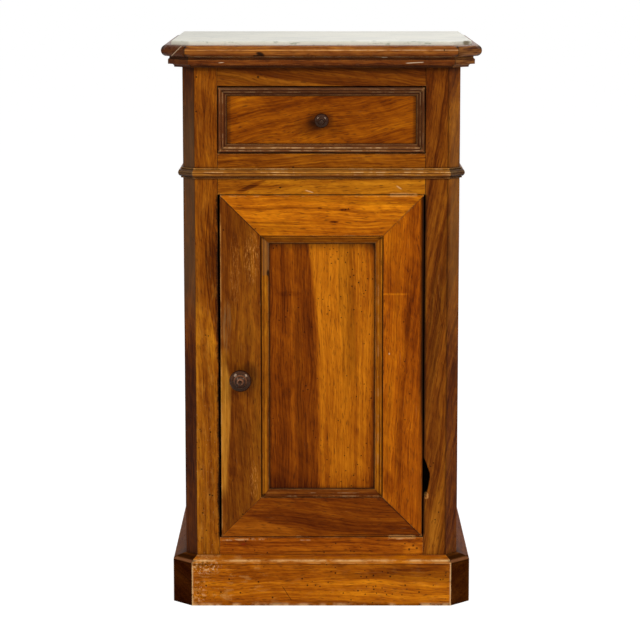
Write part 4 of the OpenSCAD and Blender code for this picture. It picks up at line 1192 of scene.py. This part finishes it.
def on_drawer(axis, edge, side, **more):
    return ridged(axis, edge, side, DRAWER_LINES, DRAWER_CRESTS, **more)


def string(**more):
    return ridged("z", 627.3, -1, STRING_LINES, STRING_CRESTS, **more)


print("hollows in the string course at", [place for place, _, _ in STRING_LINES], "mm below its top")

# %% [markdown]
# The rows below give each board its grain direction, its own tone and the rest of its age. The tone is what the board
# shows as a whole from across a room. A table keeps the 33 boards in one place, so that two neighbours can be set
# against each other at a glance.

# %% Boards of the cabinet, the drawer and the door
PLINTH_CANTS = {"worn_share": 0.3, "contrast": 0.9, "scuffs": 0.1, "shine": 0.0, "gloss": 0.6}
PLINTH_SIDE = {"worn_share": 0.6, "shine": 0.03, "gloss": 0.5}
DRAWER_FRONT = {"lean": -0.22, "flame": 0.7, "worn_share": 0.1, "scuffs": 0.15, "contrast": 0.72}
PANEL = {"holes": 0.35, "flame": 0.4, "contrast": 0.7, "scuffs": 0.15}
TOP_MOULD = mould(shine=0.1, gloss=0.26, worn_share=0.12)
PIECES = [
    # node, body, slot, run, tone, options
    ("front_post_left", "cabinet", "walnut", "z", (142, 76, 9), {"lean": 0.03, "holes": 0.3, "worn_share": 0.35}),
    ("front_post_right", "cabinet", "walnut", "z", (118, 60, 9), {"lean": -0.16, "worn_share": 0.3, "contrast": 1.1}),
    ("top_rail", "cabinet", "walnut", "x", (106, 51, 6), {"lean": 0.15, "worn_share": 0.2}),
    ("middle_rail", "cabinet", "walnut", "x", (142, 76, 8), {"lean": -0.06, "grime": 0.55}),
    ("bottom_rail", "cabinet", "walnut", "x", (155, 77, 8), {"worn_share": 0.6, "holes": 0.6}),
    ("side_board_left", "cabinet", "walnut", "z", (112, 57, 12), {"heart": (0.02, 0.03), "flame": 0.9}),
    ("side_board_right", "cabinet", "walnut", "z", (112, 57, 12), {"heart": (0.02, -0.02), "flame": 0.9}),
    ("top_moulding_front", "cabinet", "walnut_mouldings", "x", (138, 78, 26), TOP_MOULD),
    # the cut corners take a darker tone than the front, as painted shade
    ("top_moulding_cants", "cabinet", "walnut_mouldings", "x", (84, 42, 14), mould(worn_share=0.1)),
    ("top_moulding_left", "cabinet", "walnut_mouldings", "y", (120, 66, 20), MOULD),
    ("top_moulding_right", "cabinet", "walnut_mouldings", "y", (120, 66, 20), MOULD),
    ("string_front", "cabinet", "walnut_mouldings", "x", (130, 74, 22), string(glint=0.6, grime=0.45)),
    # the cut corners take a darker tone than the front, as painted shade
    ("string_cants", "cabinet", "walnut_mouldings", "x", (76, 48, 26), string()),
    ("string_left", "cabinet", "walnut_mouldings", "y", (120, 66, 22), MOULD),
    ("string_right", "cabinet", "walnut_mouldings", "y", (120, 66, 22), MOULD),
    ("plinth_front", "cabinet", "walnut_light", "x", (168, 89, 8), {"worn_share": 0.8, "holes": 0.5, "scuffs": 0.5}),
    # the cut corners' near black tone is partly painted shade
    ("plinth_cants", "cabinet", "walnut_dark", "x", (56, 22, 3), PLINTH_CANTS),
    ("plinth_left", "cabinet", "walnut", "y", (112, 55, 14), PLINTH_SIDE),
    ("plinth_right", "cabinet", "walnut", "y", (112, 55, 14), PLINTH_SIDE),
    ("drawer_front", "drawer", "walnut_light", "x", (140, 70, 4), DRAWER_FRONT),
    ("drawer_moulding_top", "drawer", "walnut_dark", "x", (78, 40, 18), on_drawer("z", 740.5, -1, glint=0.35)),
    ("drawer_moulding_bottom", "drawer", "walnut_dark", "x", (108, 62, 30), on_drawer("z", 649.2, 1, glint=0.9)),
    ("drawer_moulding_left", "drawer", "walnut_dark", "z", (98, 50, 20), on_drawer("x", -144.8, 1, glint=0.3)),
    ("drawer_moulding_right", "drawer", "walnut_dark", "z", (80, 42, 18), on_drawer("x", 144.8, -1, glint=0.25)),
    ("door_stile_left", "door", "walnut", "z", (122, 62, 8), {"worn_share": 0.5, "lean": 0.03}),
    ("door_stile_right", "door", "walnut_light", "z", (160, 79, 5), {"lean": -0.05, "contrast": 0.6}),
    ("door_rail_top", "door", "walnut_light", "x", (180, 97, 8), {"lean": 0.02, "contrast": 0.75}),
    ("door_rail_bottom", "door", "walnut", "x", (112, 50, 4), {"lean": 0.07}),
    ("door_panel", "door", "walnut_panel", "z", (146, 73, 6), PANEL),
    ("door_moulding_top", "door", "walnut_mouldings", "x", (126, 66, 8), on_door("z", 531.9, -1)),
    ("door_moulding_bottom", "door", "walnut_mouldings", "x", (114, 58, 14), on_door("z", 154.4, 1, glint=1.2)),
    ("door_moulding_left", "door", "walnut_mouldings", "z", (148, 82, 12), on_door("x", -86.0, 1, extra=mended)),
    ("door_moulding_right", "door", "walnut_mouldings", "z", (148, 80, 10), on_door("x", 87.5, -1, glint=0.15)),
]
print("boards:", len(PIECES))

# %% [markdown]
# The right post has lost a splinter beside the lower hinge, 6 cm long and 1 cm wide. It is real depth, so it is cut
# into the mesh: the corner of the post is sliced finely there, and each point of its two faces slides onto the side of
# a quarter of an ellipse.


# %% The splinter missing from the right post
CHIP = {"low": 154.0 * MM, "high": 213.0 * MM, "wide": 9.6 * MM, "deep": 12.0 * MM}
SIDE_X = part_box("front_post_right")[0].x


def splintered(place, normal):
    t = (place.z - CHIP["low"]) / (CHIP["high"] - CHIP["low"])
    if not 0 < t < 1:
        return place
    wide = CHIP["wide"] * min(1.0, (t / 0.55) ** 0.5 if t < 0.55 else ((1 - t) / 0.45) ** 0.75)
    wide *= 1 + 0.10 * noise.noise(Vector((place.z * 260, 3.0, 1.0)))
    deep = CHIP["deep"] * min(1.0, wide / CHIP["wide"] * 1.4)
    in_x, in_y = place.x - SIDE_X, place.y - FACE_Y
    if in_x > wide or in_y > deep or wide < 0.3 * MM:
        return place
    turn = math.pi / 4
    angle = (1 - max(in_x, 0) / wide) * turn if in_y < in_x + 0.2 * MM else turn + max(in_y, 0) / deep * turn
    return Vector((SIDE_X + wide * math.cos(angle), FACE_Y + deep * math.sin(angle), place.z))


CHIP_CUTS = (
    ("x", [SIDE_X + i * MM for i in (1, 2.2, 3.5, 5, 6.5, 8, 9.3, 10.5)]),
    ("y", [FACE_Y + i * MM for i in (1, 2.2, 4, 6, 8.5, 12.5)]),
    ("z", [CHIP["low"] + (CHIP["high"] - CHIP["low"]) * i / 26 for i in range(27)]),
)
print("splinter:", round((CHIP["high"] - CHIP["low"]) / MM, 1), "mm long,", round(CHIP["wide"] / MM, 1), "mm wide")

# %% [markdown]
# Each row of the table now becomes a finish and a worked copy. The number of the row is its seed, so that no two
# boards show the same figure. The middle rail is planed a hair lower, because the drawer slides over it and its worked
# face would waver into the drawer's sides.

# %% Making the boards
RAIL_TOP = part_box("middle_rail")[1].z


def planed(place, normal):
    """Keeps the top of the middle rail just under the drawer, which slides over it."""
    return Vector((place.x, place.y, min(place.z, RAIL_TOP - 0.2 * MM)))


OWN_SHAPE = {"front_post_right": {"shape": splintered, "cuts": CHIP_CUTS}, "middle_rail": {"shape": planed}}
for number, (node, body, slot, run, tone, options) in enumerate(PIECES):
    own_finish = {**options, **ITS_OWN.get(node, {})}
    finish = walnut(node + "_finish", tone, run, seed=number * 1.37 + 0.4, **own_finish)
    worked(node, body, finish, slot, seed=number, **OWN_SHAPE.get(node, {}))
print("boards made:", len(PIECES), "with", len(bpy.data.materials), "finishes so far")


# %% [markdown]
# The hidden wood is poplar, which is cheap, pale and plain. It was never polished, so it needs only a faint figure,
# a stain here and there, and dust and painted shade in the corners. Two finishes are enough for all of the inside: one
# whose grain runs from front to back, and one whose grain runs across.


# %% Poplar
def poplar(name, tone, run, seed):
    f = Finish(name)
    along, across, deep = directions(f, run)
    bands = f.cloud(f.spot(along * 3.0 + seed, across * 50.0, deep * 50.0), 1.0, 3.0, 0.6)
    fibres = f.cloud(f.spot(along * 20.0, across * 500.0, deep * 500.0 + seed), 1.0, 2.0)
    stain = f.cloud(f.place, 8.0, 4.0, 0.6)
    value = 0.5 + (bands - 0.5) * 0.9 + (fibres - 0.5) * 0.5 + (stain - 0.5) * 0.9
    base = value.ramp((0.1, colour(*tone, 0.45)), (0.5, colour(*tone)), (0.9, colour(*tone, 1.45)))
    # dust and painted shade in the corners
    base = base.mixed(colour(52, 34, 20), f.crevice(14 * MM).rise(0.1, 0.8) * 0.7)
    return f.close(base, 0.72 + (stain - 0.5) * 0.2, fibres + bands * 0.6, 0.0004, Specular_IOR_Level=0.25)


side_poplar = poplar("side_poplar", (172, 128, 78), "y", 9.0)
cross_poplar = poplar("cross_poplar", (160, 118, 70), "x", 12.0)
print("poplar:", side_poplar.name, "and", cross_poplar.name)

# %% [markdown]
# The hinges are brass, and the nails and the latch are iron. Each metal is one cloud that sets its colour, its
# roughness and its tiny bumps together, because rust and tarnish change all three at the same spot.


# %% Iron and brass
def metal(name, scale, detail, rough, stops, gloss, bump, shine):
    f = Finish(name)
    dull = f.cloud(f.place, scale, detail, rough)
    return f.close(dull.ramp(*stops), gloss[0] + dull * gloss[1], dull, bump, Metallic=shine)


RUSTY = (0.3, colour(38, 34, 31)), (0.55, colour(60, 48, 40)), (0.75, colour(105, 58, 32))
TARNISHED = (0.3, colour(92, 66, 30)), (0.7, colour(176, 136, 68))
iron = metal("iron_finish", 160.0, 4.0, 0.65, RUSTY, (0.45, 0.3), 0.0003, 0.8)
brass = metal("brass_finish", 120.0, 3.0, 0.6, TARNISHED, (0.35, 0.25), 0.0001, 0.9)
print("metals:", iron.name, "and", brass.name)

# %% [markdown]
# The marble is white with faint grey veins. Years of wet glasses have left greenish smudges along its front, small
# dark pits, and a chip at its right corner. Veins are the places where slow noise crosses its middle value, which
# makes thin lines that wander and branch. Real veins run through the slab, and these do too.


# %% Marble
def marble(name):
    f = Finish(name)
    drift = f.cloud(f.place, 5.0, 4.0, 0.6, output=1)
    moved = f.place.node("VectorMath", {"operation": "MULTIPLY_ADD"}, {0: drift, 1: (0.12, 0.12, 0.12), 2: f.place})
    veins = f.cloud(moved, 12.0, 5.0, 0.6).near(0.5, 0.03) * f.cloud(f.place, 8.0).rise(0.48, 0.62)
    cloudy = f.cloud(moved, 9.0, 5.0, 0.65)
    spots = f.cloud(f.place, 34.0, 3.0, 0.6).rise(0.62, 0.74)
    pits = f.cloud(f.place, 210.0, 2.0, 0.6).rise(0.70, 0.76)
    base = cloudy.ramp((0.3, colour(196, 194, 178)), (0.6, colour(220, 216, 199)))
    base = base.mixed(colour(222, 214, 198), f.z.fall(0.8015, 0.8042) * 0.6)
    base = base.mixed(colour(158, 160, 150), veins * 0.4)
    base = base.mixed(colour(170, 174, 156), spots * 0.5)
    base = base.mixed(colour(92, 84, 66), pits * 0.7)
    front = f.y.fall(-0.166, -0.120)
    smudge = f.cloud(f.spot(f.x * 60.0, f.y * 60.0, f.z * 200.0), 1.0, 3.0, 0.6).rise(0.54, 0.68) * front
    base = base.mixed(colour(138, 143, 118), smudge * 0.75)
    specks = f.start.node("TexVoronoi", None, {"Vector": f.place, "Scale": 46.0}).fall(0.045, 0.07)
    base = base.mixed(colour(84, 74, 56), specks * f.cloud(f.place, 20.0).rise(0.45, 0.6) * 0.7)
    chipped = f.oval(202, 802.5, 6.5, 5) * f.y.fall(-0.150, -0.135)
    base = base.mixed(colour(112, 98, 66), chipped * 0.9)
    # painted shade, brownish, in the corners where the slab meets other pieces
    base = base.mixed(colour(140, 118, 84), f.crevice(5 * MM).rise(0.1, 0.8) * 0.6)
    return f.close(base, 0.34 + (cloudy - 0.5) * 0.2, cloudy - pits * 2.0, 0.0003, Specular_IOR_Level=0.35)


marble_finish = marble("marble_finish")
print("stone:", marble_finish.name)

# %% [markdown]
# The marble top and the three back boards get worked copies, for they have long edges that show. All the other
# hidden pieces are shown as they are and are only given their finish.


# %% Marble top, back and the plain pieces
def spread(place, normal):
    """The back boards have swollen until they all but touch."""
    return place + Vector((normal.x * 0.34 * MM, 0, 0))


def show(finish, *nodes):
    """Gives nodes that keep their own shape their finish."""
    for node in nodes:
        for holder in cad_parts[node].material_slots:
            holder.link = "OBJECT"
            holder.material = finish
    print(finish.name, "on", len(nodes), "pieces")


BACK = ("back_board_left", "back_board_middle", "back_board_right")
worked("marble_top", "cabinet", marble_finish, "marble", round_by=1.6 * MM, waver=0.2 * MM, dents=0.9 * MM, seed=71)
for number, node in enumerate(BACK):
    finish = poplar(node + "_finish", (118 + 5 * number, 84, 50), "z", 3.0 + 4.7 * number)
    worked(node, "cabinet", finish, "poplar", seed=80 + number, waver=0.3 * MM, shape=spread)
show(iron, "back_nails", "latch_spindle", "latch_tongue")
show(brass, "hinge_door_leaves", "hinge_frame_leaves", "hinge_washers", "hinge_door_screws", "hinge_frame_screws")
show(side_poplar, "drawer_side_left", "drawer_side_right")
show(side_poplar, "drawer_runners", "drawer_guides", "drawer_kickers", "shelf_cleats")
show(cross_poplar, "drawer_back", "drawer_bottom", "cupboard_floor", "dust_board")
show(cross_poplar, "shelf", "door_stop", "back_top_rail")

# %% [markdown]
# The knobs were turned on a lathe, so each is one outline spun about its axis. The outline is a list of reach and
# radius, with a bead at the foot, a neck, a round body and small rings cut into its front. A curve through the points
# rounds it, as the gouge does.


# %% Turning
STEPS = 72


def turned(node, body, finish, outline, middle):
    """An outline spun about an axis that runs to the front through middle."""
    bm = bmesh.new()
    rows = []
    for reach, radius in outline:
        row = []
        for i in range(STEPS):
            angle = 2 * math.pi * i / STEPS
            side, up = radius * math.cos(angle), radius * math.sin(angle)
            row.append(bm.verts.new((middle.x + side, middle.y - reach, middle.z + up)))
        rows.append(row)
    for low, high in zip(rows, rows[1:]):
        for i in range(STEPS):
            j = (i + 1) % STEPS
            bm.faces.new((low[i], low[j], high[j], high[i]))
    bm.faces.new(rows[0][::-1])
    bm.faces.new(rows[-1])
    bmesh.ops.recalc_face_normals(bm, faces=bm.faces[:])
    piece = as_piece(bm, node + "_turned", finish, sharp_from=50)
    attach(piece, body)
    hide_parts(node)
    return piece


def smooth_outline(points, between=5):
    """A curve through (reach, radius) points in millimetres, as metres."""
    found = []
    for i in range(len(points) - 1):
        p0, p1, p2, p3 = (Vector(points[min(max(i + k, 0), len(points) - 1)]) for k in (-1, 0, 1, 2))
        for k in range(between):
            t = k / between
            q = 2 * p1 + (p2 - p0) * t
            q += (2 * p0 - 5 * p1 + 4 * p2 - p3) * t**2
            q += (3 * p1 - p0 - 3 * p2 + p3) * t**3
            found.append(0.5 * q)
    found.append(Vector(points[-1]))
    return [(q.x * MM, max(q.y, 0.02) * MM) for q in found]


def middle_of(knob, foot_y):
    low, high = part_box(knob)
    return Vector(((low.x + high.x) / 2, foot_y, (low.z + high.z) / 2))


door_knob_middle = middle_of("door_knob", FACE_Y)
drawer_knob_middle = middle_of("drawer_knob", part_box("drawer_front")[0].y)
print("knobs:", [round(v / MM, 1) for v in door_knob_middle], [round(v / MM, 1) for v in drawer_knob_middle])

# %% [markdown]
# These are the two outlines, from the foot to the middle of the front. The door's knob is a full round with a flat
# ring and a button, and the drawer's is smaller and steeper.

# %% Outlines of the knobs
DOOR_OUTLINE = [
    (0.4, 9.6), (0.9, 10.0), (2.2, 9.9), (2.8, 9.0), (3.2, 8.3), (3.9, 8.4), (4.6, 8.1), (5.2, 7.0), (8.0, 6.6),
    (11.5, 7.0), (14.2, 9.8), (16.6, 13.4), (19.4, 15.3), (22.4, 15.75), (24.8, 15.2), (26.4, 14.0), (27.6, 12.3),
    (28.6, 10.4), (28.9, 9.7), (28.8, 9.2), (29.3, 8.7), (30.5, 8.1), (31.6, 7.0), (32.2, 5.8), (32.4, 5.1),
    (32.7, 4.6), (33.8, 4.1), (34.4, 3.3), (34.2, 2.6), (33.3, 1.9), (32.8, 1.0), (32.7, 0.0),
]
DRAWER_OUTLINE = [
    (-12.5, 4.9), (-1.0, 5.0), (0.0, 6.3), (1.1, 6.6), (2.2, 6.3), (2.9, 5.2), (5.0, 4.7), (8.5, 4.6), (11.5, 5.0),
    (13.4, 6.8), (15.0, 9.2), (16.8, 10.3), (18.6, 10.4), (20.3, 10.0), (21.7, 9.1), (22.7, 7.8), (23.5, 6.4),
    (23.8, 5.7), (23.7, 5.2), (24.3, 4.8), (25.5, 4.4), (26.5, 3.8), (26.6, 3.0), (25.8, 2.3), (25.3, 1.4),
    (25.5, 0.7), (25.7, 0.0),
]
print("door knob", max(reach for reach, _ in DOOR_OUTLINE), "mm long, drawer knob", max(r for r, _ in DRAWER_OUTLINE))

# %% [markdown]
# Both knobs are dark and highly polished, and their rings are worn to a lighter brown between lines of old wax, with
# painted highlights on the lighter rings and painted shade in the dark ones and round the edge. The lower half of each
# is painted nearly black as shade, for it turns away from both lamps, and painted shade fills the corners of the
# turning.
# A mirror-like coat would turn them grey, so the wood itself shines a little instead.


# %% Finishes of the knobs
def turned_finish(name, tone, middle, rings, radius_in_mm):
    """A polished turning. rings gives (radius, width, share, colour) round its axis, in millimetres."""
    f = Finish(name)
    drift = f.cloud(f.spot(f.x * 60.0, f.y * 200.0, f.z * 60.0), 1.0, 3.0, 0.6)
    across, up = f.x - middle.x, f.z - middle.z
    radius = (across * across + up * up) ** 0.5
    base = drift.ramp((0.3, colour(*tone, 0.7)), (0.7, colour(*tone, 1.35)))
    # rings of wear and wax, with painted highlights and painted shade in them
    for place, width, share, tint in rings:
        base = base.mixed(colour(*tint), radius.near(place * MM, width * MM) * (share + (drift - 0.5) * 0.5))
    # painted shade: the lower half is nearly black, as it turns away from the lamps
    base = base.mixed(colour(32, 10, 3), up.rise(-0.6 * radius_in_mm * MM, 0.45 * radius_in_mm * MM, 0.9, 0.0))
    # painted shade in the corners of the turning
    base = base.mixed(DARK_DIRT_AND_SHADE, f.crevice(2.4 * MM).rise(0.1, 0.7) * 0.6)
    return f.close(base, 0.085 + (drift - 0.5) * 0.06, drift, 0.00003, Specular_IOR_Level=0.31, Specular_Tint=WARM)


DOOR_RINGS = [
    (0.0, 2.4, 0.9, (16, 6, 2)), (4.0, 1.6, 0.8, (150, 100, 70)), (6.6, 1.6, 0.8, (24, 9, 4)),
    (8.7, 1.5, 0.75, (128, 80, 52)), (10.8, 1.6, 0.7, (30, 12, 5)), (15.4, 2.8, 0.8, (24, 7, 3)),
]
DRAWER_RINGS = [
    (0.0, 1.2, 0.6, (90, 68, 54)), (2.6, 1.2, 0.7, (12, 6, 4)), (4.6, 1.1, 0.6, (84, 60, 48)),
    (10.2, 2.6, 0.6, (26, 12, 8)),
]
knob_wood = turned_finish("door_knob_finish", (66, 33, 14), door_knob_middle, DOOR_RINGS, 15.75)
black_wood = turned_finish("drawer_knob_finish", (52, 25, 14), drawer_knob_middle, DRAWER_RINGS, 10.35)
turned("door_knob", "latch", knob_wood, smooth_outline(DOOR_OUTLINE), door_knob_middle)
turned("drawer_knob", "drawer", black_wood, smooth_outline(DRAWER_OUTLINE), drawer_knob_middle)
print("turned:", knob_wood.name, "and", black_wood.name)

# %% [markdown]
# Last, the scene is brought up to date.

# %% Finish
bpy.context.view_layer.update()
